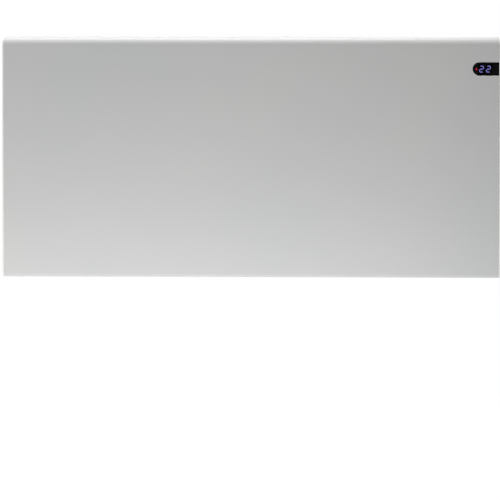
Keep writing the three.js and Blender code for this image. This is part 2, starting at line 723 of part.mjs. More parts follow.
function heatingElement() {
  const bar = (angle, along0, along1, thickness) => {
    const section = outline([
      [-thickness / 2, along0], [thickness / 2, along0], [thickness / 2, along1], [-thickness / 2, along1],
    ]);
    const geometry = new THREE.ExtrudeGeometry(section, { depth: elementRight - elementLeft, bevelEnabled: false });
    geometry.rotateZ(THREE.MathUtils.degToRad(angle));
    geometry.translate(elementY, elementHeight, elementLeft);
    geometry.applyMatrix4(placings.x);
    return toSolid(geometry);
  };
  const angles = [FIN_ANGLE, -FIN_ANGLE, 180 - FIN_ANGLE, 180 + FIN_ANGLE];
  const fins = angles.map((angle) => bar(angle, 0, FIN_LENGTH, FIN_THICKNESS));
  const barbs = angles.flatMap((angle) => [0.45, 0.7, 0.95].map((share) => {
    const at = FIN_LENGTH * share;
    return bar(angle, at - FIN_THICKNESS / 2, at + FIN_THICKNESS / 2, FIN_BARB);
  }));
  const hub = rod('x', [elementY, elementHeight], ELEMENT_HUB, elementLeft, elementRight, 16);
  const bore = rod('x', [elementY, elementHeight], TERMINAL_RADIUS + FIT, elementLeft - 1, elementRight + 1, 10);
  return cut(join(hub, ...fins, ...barbs), bore);
}

// Distances along x from the element's end outwards, mirrored for the left end.
const bracketGap = FIT + INSULATOR_FLANGE + FIT;
const neckEnd = bracketGap + BRACKET_PLATE + 5;
const terminalEnd = neckEnd + 3;

function insulator(side) {
  const end = side > 0 ? elementRight : elementLeft;
  const profile = [
    [TERMINAL_RADIUS + FIT, FIT], [INSULATOR_RADIUS, FIT], [INSULATOR_RADIUS, FIT + INSULATOR_FLANGE],
    [INSULATOR_NECK, FIT + INSULATOR_FLANGE], [INSULATOR_NECK, neckEnd], [TERMINAL_RADIUS + FIT, neckEnd],
    [TERMINAL_RADIUS + FIT, FIT],
  ].map(([radius, along]) => [radius, end + side * along]);
  return turned('x', [elementY, elementHeight], profile, 20);
}

function terminal(side) {
  const end = side > 0 ? elementRight : elementLeft;
  const pin = rod('x', [elementY, elementHeight], TERMINAL_RADIUS, end - side * 20, end + side * terminalEnd, 10);
  const tab = block([end + side * (neckEnd + 1), end + side * (terminalEnd + 9)],
    [elementY - 0.5, elementY + 0.5], [elementHeight - 3.2, elementHeight + 3.2]);
  return join(pin, tab);
}

function elementBracket(side) {
  const end = side > 0 ? elementRight : elementLeft;
  const plateInner = end + side * bracketGap;
  const half = ELEMENT_BRACKET_WIDTH / 2;
  const rear = boxInner - FIT;
  const plate = block([plateInner, plateInner + side * BRACKET_PLATE], [rear, elementY - half],
    [elementHeight - half, elementHeight + half]);
  const foot = block([plateInner, plateInner - side * ELEMENT_BRACKET_FOOT], [rear, rear - BRACKET_PLATE],
    [elementHeight - half, elementHeight + half]);
  const hole = rod('x', [elementY, elementHeight], INSULATOR_NECK + FIT, plateInner - side,
    plateInner + side * (BRACKET_PLATE + 1), 20);
  return cut(join(plate, foot), hole);
}

const shieldFront = slabFront + SHEET + SHIELD_CLEARANCE;
const shieldFlangeMiddle = flangeFront - FIT - SHIELD_SHEET / 2;

function heatShield() {
  const high = boxTop + SHIELD_SHEET;
  const low = BOX_BOTTOM - SHIELD_SHEET;
  const front = shieldFront + SHIELD_SHEET / 2;
  const section = bentStrip([
    [shieldFlangeMiddle, low - SHIELD_FLANGE],
    [shieldFlangeMiddle, low, 1],
    [front, low, 1],
    [front, high, 1],
    [shieldFlangeMiddle, high, 1],
    [shieldFlangeMiddle, high + SHIELD_FLANGE],
  ], SHIELD_SHEET, 3);
  return prism('x', section, SHIELD_SIDE_GAP - boxWidth / 2, boxWidth / 2 - SHIELD_SIDE_GAP);
}

function overheatCutout() {
  const rear = boxInner - FIT;
  const face = rear - BRACKET_PLATE;
  const plate = block([CUTOUT_X - 13, CUTOUT_X + 13], [rear, face], [cutoutHeight - 5, cutoutHeight + 5]);
  const body = rod('y', [CUTOUT_X, cutoutHeight], CUTOUT_RADIUS, face + 0.5, face - CUTOUT_BODY, 20);
  const tabs = [-1, 1].map((side) => block([CUTOUT_X + side * 5 - 0.4, CUTOUT_X + side * 5 + 0.4],
    [face - CUTOUT_BODY + 1, face - CUTOUT_BODY - 7], [cutoutHeight - 3, cutoutHeight + 3]));
  return join(plate, body, ...tabs);
}

function hotSideBaffle() {
  const low = BOX_BOTTOM + SHEET + FIT;
  const high = boxTop - SHEET - FIT;
  const rear = boxInner - FIT;
  const plate = block([baffleX, baffleX + SHEET], [rear, rear - BAFFLE_DEPTH], [low, high]);
  const foot = block([baffleX, baffleX - BAFFLE_FOOT], [rear, rear - SHEET], [low, high]);
  const holes = leadHoleHeights.map((z) => rod('x', [elementY, z], LEAD_HOLE_RADIUS, baffleX - 1,
    baffleX + SHEET + 1, 16));
  return cut(join(plate, foot), ...holes);
}

piece('heating', 'heating_element', 'aluminium', heatingElement());
[['left', -1], ['right', 1]].forEach(([word, side]) => {
  piece('heating', `insulator_${word}`, 'ceramic', insulator(side));
  piece('heating', `terminal_${word}`, 'zincSteel', terminal(side));
  piece('heating', `element_bracket_${word}`, 'zincSteel', elementBracket(side));
});
piece('heating', 'heat_shield', 'aluminium', heatShield());
piece('heating', 'overheat_cutout', 'blackPlastic', overheatCutout());
piece('heating', 'baffle', 'zincSteel', hotSideBaffle());

// Electric side

const trayRear = boxInner - TRAY_LEGS;
const trayFace = trayRear - TRAY_WALL;
const boardRear = trayFace - FIT;
const boardFront = boardRear - POWER_BOARD;
const partRear = boardFront - SOLDER_GAP;
const trayTop = trayBottom + TRAY_HEIGHT;

function boardTray() {
  const plate = cut(
    block([trayLeft, trayRight], [trayRear, boardFront], [trayBottom, trayTop]),
    block([trayLeft + TRAY_RIM, trayRight - TRAY_RIM], [trayFace, boardFront - 1],
      [trayBottom + TRAY_RIM, trayTop - TRAY_RIM]),
  );
  const legs = [trayLeft + 8, trayRight - 8].flatMap((x) => [trayBottom + 8, trayTop - 8].map((z) => rod('y',
    [x, z], 4, boxInner - FIT, trayRear - 0.5, 12)));
  return join(plate, ...legs);
}

function powerBoard() {
  const inset = TRAY_RIM + FIT;
  return block([trayLeft + inset, trayRight - inset], [boardRear, boardFront],
    [trayBottom + inset, trayTop - inset]);
}

// A component on the power board, placed by its centre and height above the tray's lower edge.
function component(x, z, width, height, depth) {
  return block([x - width / 2, x + width / 2], [partRear, partRear - depth],
    [trayBottom + z - height / 2, trayBottom + z + height / 2]);
}

function terminalBlock() {
  const x = (trayLeft + trayRight) / 2;
  const body = component(x, 16, 44, 16, 14);
  const wells = [-1.5, -0.5, 0.5, 1.5].map((n) => rod('y', [x + n * 10, trayBottom + 18], 2.2, partRear - 8,
    partRear - 15, 10));
  return cut(body, ...wells);
}

function transformer() {
  const x = trayLeft + 46;
  const core = component(x, 124, 30, 26, 22);
  return join(core, component(x, 124, 22, 36, 14));
}

function cableGland() {
  const outer = boxRear + FIT;
  return turned('y', [glandX, glandHeight], [
    [GLAND_BORE, boxInner - GLAND_THREAD], [GLAND_RADIUS, boxInner - GLAND_THREAD], [GLAND_RADIUS, outer],
    [GLAND_COLLAR, outer], [GLAND_COLLAR, outer + 3], [GLAND_COLLAR * 0.7, outer + GLAND_COLLAR_LENGTH],
    [GLAND_BORE, outer + GLAND_COLLAR_LENGTH], [GLAND_BORE, boxInner - GLAND_THREAD],
  ], 20);
}

function glandNut() {
  const rear = boxInner - FIT;
  const hexagon = new THREE.CylinderGeometry(GLAND_COLLAR, GLAND_COLLAR, GLAND_NUT, 6);
  hexagon.translate(glandX, rear - GLAND_NUT / 2, glandHeight);
  return cut(toSolid(hexagon), rod('y', [glandX, glandHeight], GLAND_RADIUS + FIT, rear + 1,
    rear - GLAND_NUT - 1, 24));
}

function earthStud() {
  const rear = boxInner - FIT;
  return join(
    rod('y', [earthX, glandHeight], 4, rear, rear - 3, 6),
    rod('y', [earthX, glandHeight], 2, rear, rear - EARTH_STUD_LENGTH, 10),
  );
}

const leadY = partRear - 4;

piece('electrics', 'board_tray', 'blackPlastic', boardTray());
piece('electrics', 'power_board', 'boardGreen', powerBoard());
piece('electrics', 'terminal_block', 'whitePlastic', terminalBlock());
piece('electrics', 'relay', 'blackPlastic', component(trayLeft + 22, 64, 13, 29, 16));
piece('electrics', 'capacitor', 'whitePlastic', component(trayLeft + 50, 66, 11, 27, 19));
piece('electrics', 'transformer', 'blackPlastic', transformer());
piece('electrics', 'cable_gland', 'blackPlastic', cableGland());
piece('electrics', 'gland_nut', 'blackPlastic', glandNut());
piece('electrics', 'earth_stud', 'zincSteel', earthStud());

const terminalTabY = elementY - 0.5 - FIT - LEAD_RADIUS;
piece('electrics', 'lead_element_right', 'leadSleeve', lead([
  [trayLeft + 10, leadY - 3, trayBottom + 38],
  [trayLeft + 2, elementY + 8, leadHoleHeights[0] + 4],
  [baffleX, elementY, leadHoleHeights[0] + 3],
  [baffleX - 9, terminalTabY, elementHeight],
  [elementRight + terminalEnd + 2, terminalTabY, elementHeight],
]));
piece('electrics', 'lead_element_left', 'leadSleeve', lead([
  [trayLeft + 10, leadY - 3, trayBottom + 24],
  [trayLeft + 2, elementY + 8, leadHoleHeights[0] - 6],
  [baffleX, elementY, leadHoleHeights[0] - 4],
  [baffleX - 8, elementY + 1, leadHoleHeights[0] - 6],
  [baffleX - 34, elementY + 8, BOX_BOTTOM + 20],
  [baffleX - 80, elementY + 8, BOX_BOTTOM + 12],
  [elementLeft + 40, elementY + 8, BOX_BOTTOM + 12],
  [elementLeft - 12, elementY + 4, BOX_BOTTOM + 20],
  [elementLeft - 28, terminalTabY, elementHeight - 30],
  [elementLeft - terminalEnd - 9, terminalTabY, elementHeight],
]));
piece('electrics', 'lead_cutout', 'leadSleeve', lead([
  [trayLeft + 10, leadY - 3, leadHoleHeights[1] - 8],
  [trayLeft + 2, elementY + 8, leadHoleHeights[1] - 3],
  [baffleX, elementY, leadHoleHeights[1]],
  [baffleX - 40, elementY + 10, cutoutHeight],
  [CUTOUT_X + 5.4 + FIT, boxInner - CUTOUT_BODY - 6, cutoutHeight],
]));
piece('electrics', 'earth_lead', 'earthSleeve', lead([
  [trayRight - 14 + LEAD_RADIUS + FIT, partRear - 8, trayBottom + 16],
  [trayRight - 6, partRear - 6, trayBottom + 6],
  [earthX + 2, boxInner - EARTH_STUD_LENGTH - 3, glandHeight + EARTH_STUD_LENGTH],
  [earthX + 2, boxInner - 7, glandHeight + 5.2 + LEAD_RADIUS],
]));
piece('electrics', 'control_harness', 'leadSleeve', lead([
  [trayRight - HARNESS_INSET, leadY, trayTop - HARNESS_DROP],
  [trayRight - HARNESS_INSET, leadY - HARNESS_STEP, trayTop - HARNESS_RISE],
  [trayRight - HARNESS_INSET, slabRear + 4, trayTop + 2],
  [trayRight - HARNESS_INSET / 3, slabMiddle + 5, trayTop + HARNESS_RISE],
  [housingLeft + HARNESS_STEP, slabMiddle, (trayTop + housingLow) / 2],
  [housingLeft + HARNESS_TAIL, slabMiddle - 3, housingLow - HARNESS_DROP],
  [housingLeft + HARNESS_TAIL, slabMiddle - 3, housingLow - FIT],
], 2));

// Hangers and spacers behind the pan

function hanger(x) {
  const half = HANGER_SHEET / 2;
  const footY = boxRear + FIT + half;
  const lipY = HANGER_LIP_Y - half;
  const bend = 2;
  const section = bentStrip([
    [lipY, hangerBottom - HANGER_LOWER_LIP],
    [lipY, hangerBottom, bend],
    [footY, hangerBottom, bend],
    [footY, hangerTop, bend],
    [lipY, hangerTop, bend],
    [lipY, hangerTop + HANGER_UPPER_LIP],
  ], HANGER_SHEET, 4);
  return prism('x', section, x - HANGER_WIDTH / 2, x + HANGER_WIDTH / 2);
}

function wallSpacer(x) {
  const seat = boxRear + FIT;
  return turned('y', [x, SPACER_HEIGHT], [
    [0, seat], [SPACER_RADIUS, seat], [SPACER_RADIUS, seat + 4], [SPACER_RADIUS * 0.72, seat + 6],
    [SPACER_RADIUS * 0.72, -3 - FIT], [SPACER_RADIUS * 0.6, -FIT], [0, -FIT],
  ], 20);
}

// Wall bracket

// A level slot with round ends, from half its length and half its width.
function slotOutline(x, halfLength, z, radius) {
  return outline([
    ...arc(x + halfLength - radius, z, radius, -90, 90, 4),
    ...arc(x - halfLength + radius, z, radius, 90, 270, 4),
  ]);
}

function rail(z) {
  const half = RAIL_LENGTH / 2;
  const slotX = half - RAIL_SLOT_INSET;
  const strip = prism('y', rectangle(-half, half, z - RAIL_HEIGHT / 2, z + RAIL_HEIGHT / 2, RAIL_CORNER, 3), 0,
    railFront);
  const slots = [-slotX, slotX].map((x) => prism('y', slotOutline(x, RAIL_SLOT_LENGTH / 2, z, RAIL_SLOT_WIDTH / 2),
    1, railFront - 1));
  return cut(strip, ...slots);
}

function upright(x) {
  const half = RAIL_SHEET / 2;
  const web = UPRIGHT_WIDTH / 2 - half;
  const outer = UPRIGHT_WIDTH / 2 + UPRIGHT_FLANGE;
  const section = bentStrip([
    [x - outer, uprightRear - half],
    [x - web, uprightRear - half, 1.5],
    [x - web, uprightFront + half, 1.5],
    [x + web, uprightFront + half, 1.5],
    [x + web, uprightRear - half, 1.5],
    [x + outer, uprightRear - half],
  ], RAIL_SHEET, 3);
  const channel = prism('z', section, lowerRailHeight - UPRIGHT_OVERHANG, catchTop + CATCH_TRAVEL + UPRIGHT_HEADROOM);
  const hookMiddle = HOOK_SHEET / 2;
  const hookSection = bentStrip([
    [uprightFront + half, hookNeckTop - hookMiddle - 12],
    [uprightFront - hookMiddle + 0.2, hookNeckTop - hookMiddle - 8, 1.5],
    [uprightFront - 2, hookNeckTop - hookMiddle, 1.5],
    [HOOK_LIP_Y - hookMiddle, hookNeckTop - hookMiddle, 1.5],
    [HOOK_LIP_Y - hookMiddle, hookNeckTop + HOOK_LIP],
  ], HOOK_SHEET, 3);
  const hook = prism('x', hookSection, x - HOOK_WIDTH / 2, x + HOOK_WIDTH / 2);
  const hole = rod('y', [x, rivetHeight], RIVET_RADIUS + FIT, uprightFront - 1, uprightFront + RAIL_SHEET + 1, 12);
  return cut(join(channel, hook), hole);
}

const catchRear = uprightFront - FIT;
const catchFace = catchRear - CATCH_THICKNESS;

// A sliding catch: its nose hangs down in front of the hanger's upper lip, and a slot guides it on the rivet.
function wallCatch(x) {
  const noseLow = hangerTop + HANGER_UPPER_LIP - CATCH_OVERLAP;
  const section = outline([
    [catchRear, catchBridge], [CATCH_NOSE_REAR, catchBridge], [CATCH_NOSE_REAR, noseLow],
    [CATCH_NOSE_FRONT + 1, noseLow], [CATCH_NOSE_FRONT, noseLow + 1.5],
    [CATCH_NOSE_FRONT, catchBridge + 5], [catchFace, catchBridge + 9],
    [catchFace, catchTop - 4], [catchFace - 3, catchTop - 2], [catchFace - 3, catchTop], [catchRear, catchTop],
  ]);
  const body = prism('x', section, x - CATCH_WIDTH / 2, x + CATCH_WIDTH / 2);
  const radius = RIVET_RADIUS + FIT;
  const slot = outline([
    ...arc(x, rivetHeight, radius, 0, 180, 6),
    ...arc(x, rivetHeight - CATCH_TRAVEL, radius, 180, 360, 6),
  ]);
  return cut(body, prism('y', slot, catchRear + 1, CATCH_NOSE_FRONT));
}

function catchRivet(x) {
  const front = catchFace - FIT;
  const behind = uprightFront + RAIL_SHEET + FIT;
  return turned('y', [x, rivetHeight], [
    [0, front - RIVET_HEAD], [RIVET_HEAD_RADIUS * 0.6, front - RIVET_HEAD], [RIVET_HEAD_RADIUS, front],
    [RIVET_RADIUS, front], [RIVET_RADIUS, behind], [RIVET_HEAD_RADIUS * 0.8, behind],
    [RIVET_HEAD_RADIUS * 0.8, behind + 1], [0, behind + 1],
  ], 16);
}

piece('bracket', 'rail_upper', 'zincSteel', rail(upperRailHeight));
piece('bracket', 'rail_lower', 'zincSteel', rail(lowerRailHeight));
[['left', -1], ['right', 1]].forEach(([word, side]) => {
  const x = side * uprightX;
  piece('hanging', `hanger_${word}`, 'zincSteel', hanger(x));
  piece('hanging', `wall_spacer_${word}`, 'rubber', wallSpacer(side * spacerX));
  piece('bracket', `upright_${word}`, 'zincSteel', upright(x));
  piece('bracket', `catch_${word}`, 'blackPlastic', wallCatch(x));
  piece('bracket', `catch_rivet_${word}`, 'zincSteel', catchRivet(x));
});

heater.position.z = -upperRailHeight;
heater.updateMatrixWorld(true);

export default heater;
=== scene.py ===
# Looks of the wall panel convector heater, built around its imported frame. Sizes are in millimetres: x runs
# along the wall, y from the room towards the wall, and z up from the middle of the upper bracket rail.
import math

import bmesh
import bpy
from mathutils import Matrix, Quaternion, Vector

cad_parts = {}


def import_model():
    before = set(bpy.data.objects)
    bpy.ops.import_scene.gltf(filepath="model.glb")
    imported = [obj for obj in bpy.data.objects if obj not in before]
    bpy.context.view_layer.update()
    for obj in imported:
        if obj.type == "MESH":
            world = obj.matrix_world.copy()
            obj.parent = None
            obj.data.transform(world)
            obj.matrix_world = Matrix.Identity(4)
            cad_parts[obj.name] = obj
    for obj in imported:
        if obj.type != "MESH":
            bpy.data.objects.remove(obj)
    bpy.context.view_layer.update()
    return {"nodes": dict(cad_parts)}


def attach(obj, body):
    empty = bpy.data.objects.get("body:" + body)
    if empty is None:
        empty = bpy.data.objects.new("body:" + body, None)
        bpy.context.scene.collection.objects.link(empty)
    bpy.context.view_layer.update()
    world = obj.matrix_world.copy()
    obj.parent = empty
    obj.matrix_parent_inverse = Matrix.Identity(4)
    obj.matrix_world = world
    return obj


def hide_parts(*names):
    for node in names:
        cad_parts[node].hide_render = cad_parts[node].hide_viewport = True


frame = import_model()

MM = 0.001
PANEL_LOW = -285.0
PANEL_TOP = 85.0
PANEL_END = 383.0
OVERCUT = 1.0
LAP = 0.2
WELD = 0.001
SOLID_WELD = 0.002
FLAT_ANGLE = 0.6
BEVEL_ANGLE = 34.0
SHARP_ANGLE = 38.0

# Casing
FRONT = -90.0
REAR = -66.0
MIDDLE = -78.0
SHEET = 1.0
FIT = 0.3
TOP_ROUND = 12.0
FOOT_ROUND = 4.5
TOP_RETURN = 20.0
FOOT_RETURN = 15.0
COVER_END = 380.3
COVER_ROLL = 0.16
CAP_INNER = 380.6
CAP_ROUND = 0.8
CAP_LIP = 0.12
CAP_EDGE = 0.1
CAP_ROLL = 0.22
SPIGOT_END = 373.1
SPIGOT_WALL = 1.4
SPIGOT_REAR = -68.6
FLANGE_REAR = -67.3
FLANGE_TOP = 71.0
FLANGE_LOW = -279.0
FLANGE_END = 380.0
FLANGE_CORNER = 1.5

# Window and display
WINDOW_Z = 35.0
WINDOW_LEFT = 339.7
WINDOW_ROUND = 10.3
NOTCH_ROUND = 0.6
LENS_GAP = 0.06
LENS_EDGE = 0.25
LENS_FRONT = -89.4
LENS_STEP = -88.7
LENS_REAR = -87.2
LENS_FLANGE = 2.0
DISPLAY_FRONT = -86.9
DISPLAY_FACE = -84.9
DISPLAY_REAR = -81.2
DISPLAY_LEFT = 348.9
DISPLAY_RIGHT = 369.5
DISPLAY_HALF = 8.0
DISPLAY_RIM = 0.6
DISPLAY_ROLL = 0.1
DIGIT_LEFTS = (350.0, 360.5)
DIGIT_WIDTH = 7.4
DIGIT_HEIGHT = 10.0
DIGIT_STROKE = 1.05
DIGIT_SLANT = 0.11
DIGIT_GAP = 0.35
SEGMENT_PROUD = 0.12
SEGMENT_SUNK = 0.2
CLEAR_ENDS = (342.0, 370.5)
CLEAR_HEIGHTS = (26.5, 43.5)
LAMP_BASE = -86.2
LAMP_BACK = -81.2
LAMP_LIFT = 0.7
LAMP_SPLIT_Z = 32.5
# Each lamp: x, rise from the window's middle, half width and half height
UPPER_LAMP = (345.7, 0.0, 1.15, 1.6)
LOWER_LAMP = (346.7, -5.4, 0.85, 0.85)
LAMP_WEB_ENDS = (345.1, 347.3)
LAMP_WEB_RISES = (-5.6, 0.4)
LAMP_WEB_DEPTH = 1.4

# Buttons
BUTTON_ZS = {"ok": 73.0, "plus": 47.0, "minus": 21.0}
BUTTON_RADIUS = 8.2
BUTTON_EDGE = 0.45
BUTTON_FACE = 382.9
BUTTON_FLANGE = 8.9
BUTTON_FLANGE_IN = 379.2
BUTTON_FLANGE_OUT = 380.3
BUTTON_STEM = 2.2
BUTTON_STEM_END = 377.3
BUTTON_AXIS = 0.3
BUTTON_HOLE = 8.5
COLLAR_INNER = 9.3
COLLAR_OUTER = 10.6
COLLAR_LENGTH = 4.0
LEGEND_STROKE = 0.5
LEGEND_FRONT = 383.0
LETTER_HALF = 2.4
RING_PLACE = -2.2
RING_HALF = 1.65
STEM_PLACE = 0.9
STEM_ARMS = (((2.7, 2.4), (0.15, -0.1)), ((0.9, 0.6), (2.8, -2.4)))
SIGN_HALF = 2.5

# Convection box
BOX_HALF = 345.0
BOX_LOW = -255.0
BOX_TOP = 45.0
BOX_REAR = -22.0
BOX_CORNER = 9.0
PRESS_ROUND = 4.0
FLANGE_ROUND = 2.5
PAN_ROLL = 0.25
SLOT_LENGTH = 44.0
SLOT_WIDTH = 9.0
SLOT_PITCH = 50.0
SLOT_COLUMNS = 13
SLOT_ROW_PITCH = 15.0
SLOT_MIDDLE = -44.5
SLOT_CORNER = 1.6
SLOT_CUT = 4.0
# The rim's section: how far out from the slot's edge, and how high above the sheet
SLOT_RIM = ((1.1, -0.05), (0.8, 0.22), (0.35, 0.34), (-0.05, 0.2), (-0.25, -0.3), (-0.25, -1.6),
            (0.1, -1.6), (0.3, -1.1))

# Foot spacers and gland, as (radius, y) profiles
SPACERS = {"left": -250.0, "right": 250.0}
SPACER_Z = -215.0
SPACER_PROFILE = ((0.4, -21.7), (10.6, -21.7), (11.0, -21.3), (11.0, -18.1), (10.7, -17.7), (8.2, -15.8),
                  (7.92, -15.4), (7.92, -3.6), (7.6, -2.6), (6.8, -0.6), (6.3, -0.3), (0.4, -0.3))
GLAND_X = 302.0
GLAND_Z = -238.0
GLAND_HOLE = 8.3
GLAND_CUT = (-30.0, -15.0)
GLAND_PROFILE = ((8.0, -32.0), (8.0, -21.7), (11.0, -21.7), (11.0, -18.9), (10.4, -18.5), (10.4, -16.0),
                 (8.6, -14.2), (6.6, -13.7), (3.9, -13.7), (3.6, -14.0), (3.6, -32.0))
GLAND_SIDES = 96
GLAND_RIBBED = (-18.6, -15.9)
GLAND_RIB = 0.35

# Screws and their bosses in the caps
BOSS_SIZE = 9.0
BOSS_DEPTH = 13.0
BOSS_INSET = 8.0
BOSS_ZS = (-274.5, 0.0)
BOSS_BORE = 1.5
BOSS_BORE_DEPTH = 11.0
SCREW_X = CAP_INNER - BOSS_INSET
SCREW_TOP_Z = 65.0
SHEET_SEAT = -65.7
FLANGE_SEAT = -67.0
SCREWS = ((-SCREW_X, SHEET_SEAT, BOSS_ZS[0]), (SCREW_X, SHEET_SEAT, BOSS_ZS[0]),
          (-SCREW_X, FLANGE_SEAT, BOSS_ZS[1]), (SCREW_X, FLANGE_SEAT, BOSS_ZS[1]),
          (0.0, SHEET_SEAT, BOSS_ZS[0]), (0.0, SHEET_SEAT, SCREW_TOP_Z))
SCREW_RADIUS = 1.6
SCREW_HEAD = 3.6
SCREW_HEAD_HEIGHT = 2.2
SCREW_HEAD_RIM = 0.5
SCREW_LENGTH = 9.0
SCREW_AXIS = 0.3
THREAD_START = 2.0
THREAD_PITCH = 0.62
THREAD_TURNS = 11
THREAD_CORE = 0.86
RECESS_LONG = 1.7
RECESS_WIDE = 0.42
RECESS_HEIGHTS = (1.15, 3.0)

# Camera and stage
VIEW_AZIMUTH = 1.5
VIEW_ELEVATION = 0.9
VIEW_ROLL = 0.08
VIEW_DISTANCE = 3.06
VIEW_LENS = 143.5
VIEW_SHIFT = (-0.0012, -0.1863)
FLOOR_Z = -1700.0
FLOOR_HALF = 9000.0
FLOOR_GLOW = 0.86
WORLD_LEVEL = 0.25
# Each lamp's place, aim and size in metres, and its power in watts
STUDIO_LAMPS = {
    "overhead": ((-0.15, -0.26, 1.7), (-0.15, -0.26, 0), (1.4, 0.35), 37),
    "low_front": ((-0.12, -0.5, -0.6), (-0.12, -0.09, -0.15), (1.25, 0.25), 4.1),
    "front_left": ((-2.2, -1.6, -0.1), (0, -0.09, -0.1), (0.9, 0.9), 13),
    "left_side": ((-1.5, 0.35, 0.1), (-0.38, -0.08, -0.1), (0.5, 0.8), 4.5),
    "rear_fill": ((1.2, 2.4, 1.0), (0, 0, -0.1), (1.8, 1.8), 32),
}


# ---- node materials ------------------------------------------------------------------------------

def tone(*levels):
    """A colour from screen levels of 0 to 255; one level gives a neutral grey."""
    if len(levels) == 1:
        levels = levels * 3
    linear = [v / 255 / 12.92 if v / 255 <= 0.04045 else ((v / 255 + 0.055) / 1.055) ** 2.4 for v in levels]
    return (*linear, 1.0)


class Wire:
    """A value in a material; arithmetic on it adds Math nodes."""

    def __init__(self, recipe, socket):
        self.recipe = recipe
        self.socket = socket

    def maths(self, operation, first, second):
        return self.recipe.node("ShaderNodeMath", {"operation": operation}, {0: first, 1: second})

    def __add__(self, other):
        return self.maths("ADD", self, other)

    def __mul__(self, other):
        return self.maths("MULTIPLY", self, other)

    def __sub__(self, other):
        return self.maths("SUBTRACT", self, other)

    def __rsub__(self, other):
        return self.maths("SUBTRACT", other, self)

    def __gt__(self, other):
        return self.maths("GREATER_THAN", self, other)

    def __lt__(self, other):
        return self.maths("LESS_THAN", self, other)

    __radd__ = __add__
    __rmul__ = __mul__


class Recipe:
    """A node material for one finish."""

    def __init__(self, name, shader="ShaderNodeBsdfPrincipled"):
        self.material = bpy.data.materials.new(name)
        self.material.use_nodes = True
        self.tree = self.material.node_tree
        self.tree.nodes.clear()
        self.output = self.tree.nodes.new("ShaderNodeOutputMaterial")
        self.shader = self.tree.nodes.new(shader)
        self.tree.links.new(self.shader.outputs[0], self.output.inputs["Surface"])
        self.place = self.node("ShaderNodeTexCoord", out="Object")

    def feed(self, socket, value):
        """Links a wire to a socket, or sets a plain value on it."""
        if isinstance(value, Wire):
            self.tree.links.new(value.socket, socket)
        else:
            socket.default_value = value

    def node(self, kind, settings=None, inputs=None, out=0):
        """Adds any node: its settings first, then the values or wires of its sockets."""
        made = self.tree.nodes.new(kind)
        for name, value in (settings or {}).items():
            if name == "stops":
                ramp = made.color_ramp.elements
                while len(ramp) < len(value):
                    ramp.new(0.5)
                for stop, (position, colour) in zip(ramp, value):
                    stop.position, stop.color = position, colour
            else:
                setattr(made, name, value)
        for name, value in (inputs or {}).items():
            self.feed(made.inputs[name], value)
        return Wire(self, made.outputs[out])

    def set(self, **values):
        """Feeds the shader's sockets, named with underscores for spaces."""
        for name, value in values.items():
            self.feed(self.shader.inputs[name.replace("_", " ")], value)
        return self

    def stretched(self, x, y, z):
        """Object coordinates scaled by axis, so that a pattern runs along one of them."""
        return self.node("ShaderNodeMapping", {}, {"Vector": self.place, "Scale": (x, y, z)})

    def noise(self, scale, detail=2.0, vector=None):
        """A cloudy pattern from 0 to 1."""
        return self.node("ShaderNodeTexNoise", {}, {"Vector": vector or self.place, "Scale": scale,
                                                    "Detail": detail})

    def cells(self, scale, out="Distance"):
        """A pattern of cells: the distance to each cell's middle, or its colour."""
        return self.node("ShaderNodeTexVoronoi", {}, {"Vector": self.place, "Scale": scale}, out)

    def waves(self, scale, direction, vector=None, distortion=0.0):
        """Bands across a direction, from 0 to 1."""
        settings = {"wave_type": "BANDS", "bands_direction": direction}
        return self.node("ShaderNodeTexWave", settings, {"Vector": vector or self.place, "Scale": scale,
                                                         "Distortion": distortion}, out="Fac")

    def axis(self, letter):
        """One object coordinate, in metres."""
        return self.node("ShaderNodeSeparateXYZ", {}, {0: self.place}, out=letter)

    def blend(self, mask, first, second):
        """A colour between two, by a mask from 0 to 1."""
        mixed = self.tree.nodes.new("ShaderNodeMix")
        mixed.data_type = "RGBA"
        for index, value in ((0, mask), (6, first), (7, second)):
            self.feed(mixed.inputs[index], value)
        return Wire(self, mixed.outputs[2])

    def fade(self, value, low, high):
        """Stretches the part of a value between two levels to 0 to 1."""
        limits = {"Value": value, "From Min": low, "From Max": high}
        return self.node("ShaderNodeMapRange", {"clamp": True}, limits)

    def relief(self, height, depth, strength=1.0):
        """Bumps the surface by a height from 0 to 1, over a depth in metres."""
        self.set(Normal=self.node("ShaderNodeBump", {}, {"Height": height, "Distance": depth,
                                                         "Strength": strength}))
        return self


def panel_paint():
    """Satin powder paint: a fine orange peel and a very faint cloudiness."""
    r = Recipe("panel_paint")
    peel = r.noise(900, 2)
    cloud = r.noise(5, 2)
    r.set(Base_Color=r.blend(r.fade(cloud, 0.3, 0.7), tone(199, 200, 200), tone(203, 203, 202)),
          Roughness=0.4 + 0.12 * peel, Specular_IOR_Level=0.4, Coat_Weight=0.06, Coat_Roughness=0.3)
    return r.relief(peel, 0.00003, 0.35).material


def cap_plastic():
    """Moulded end caps and buttons: fine spark grain, a little warmer than the paint."""
    r = Recipe("cap_plastic")
    grain = r.cells(2600)
    cloud = r.noise(14, 3)
    r.set(Base_Color=r.blend(cloud, tone(240, 239, 235), tone(244, 243, 240)),
          Roughness=0.5 + 0.14 * grain, Specular_IOR_Level=0.4)
    return r.relief(grain, 0.00003, 0.5).material


def legend_ink():
    """Printed button marks."""
    r = Recipe("legend_ink")
    speckle = r.noise(4000, 2)
    r.set(Base_Color=r.blend(speckle, tone(118, 118, 110), tone(132, 132, 123)),
          Roughness=0.55 + 0.1 * speckle)
    return r.material


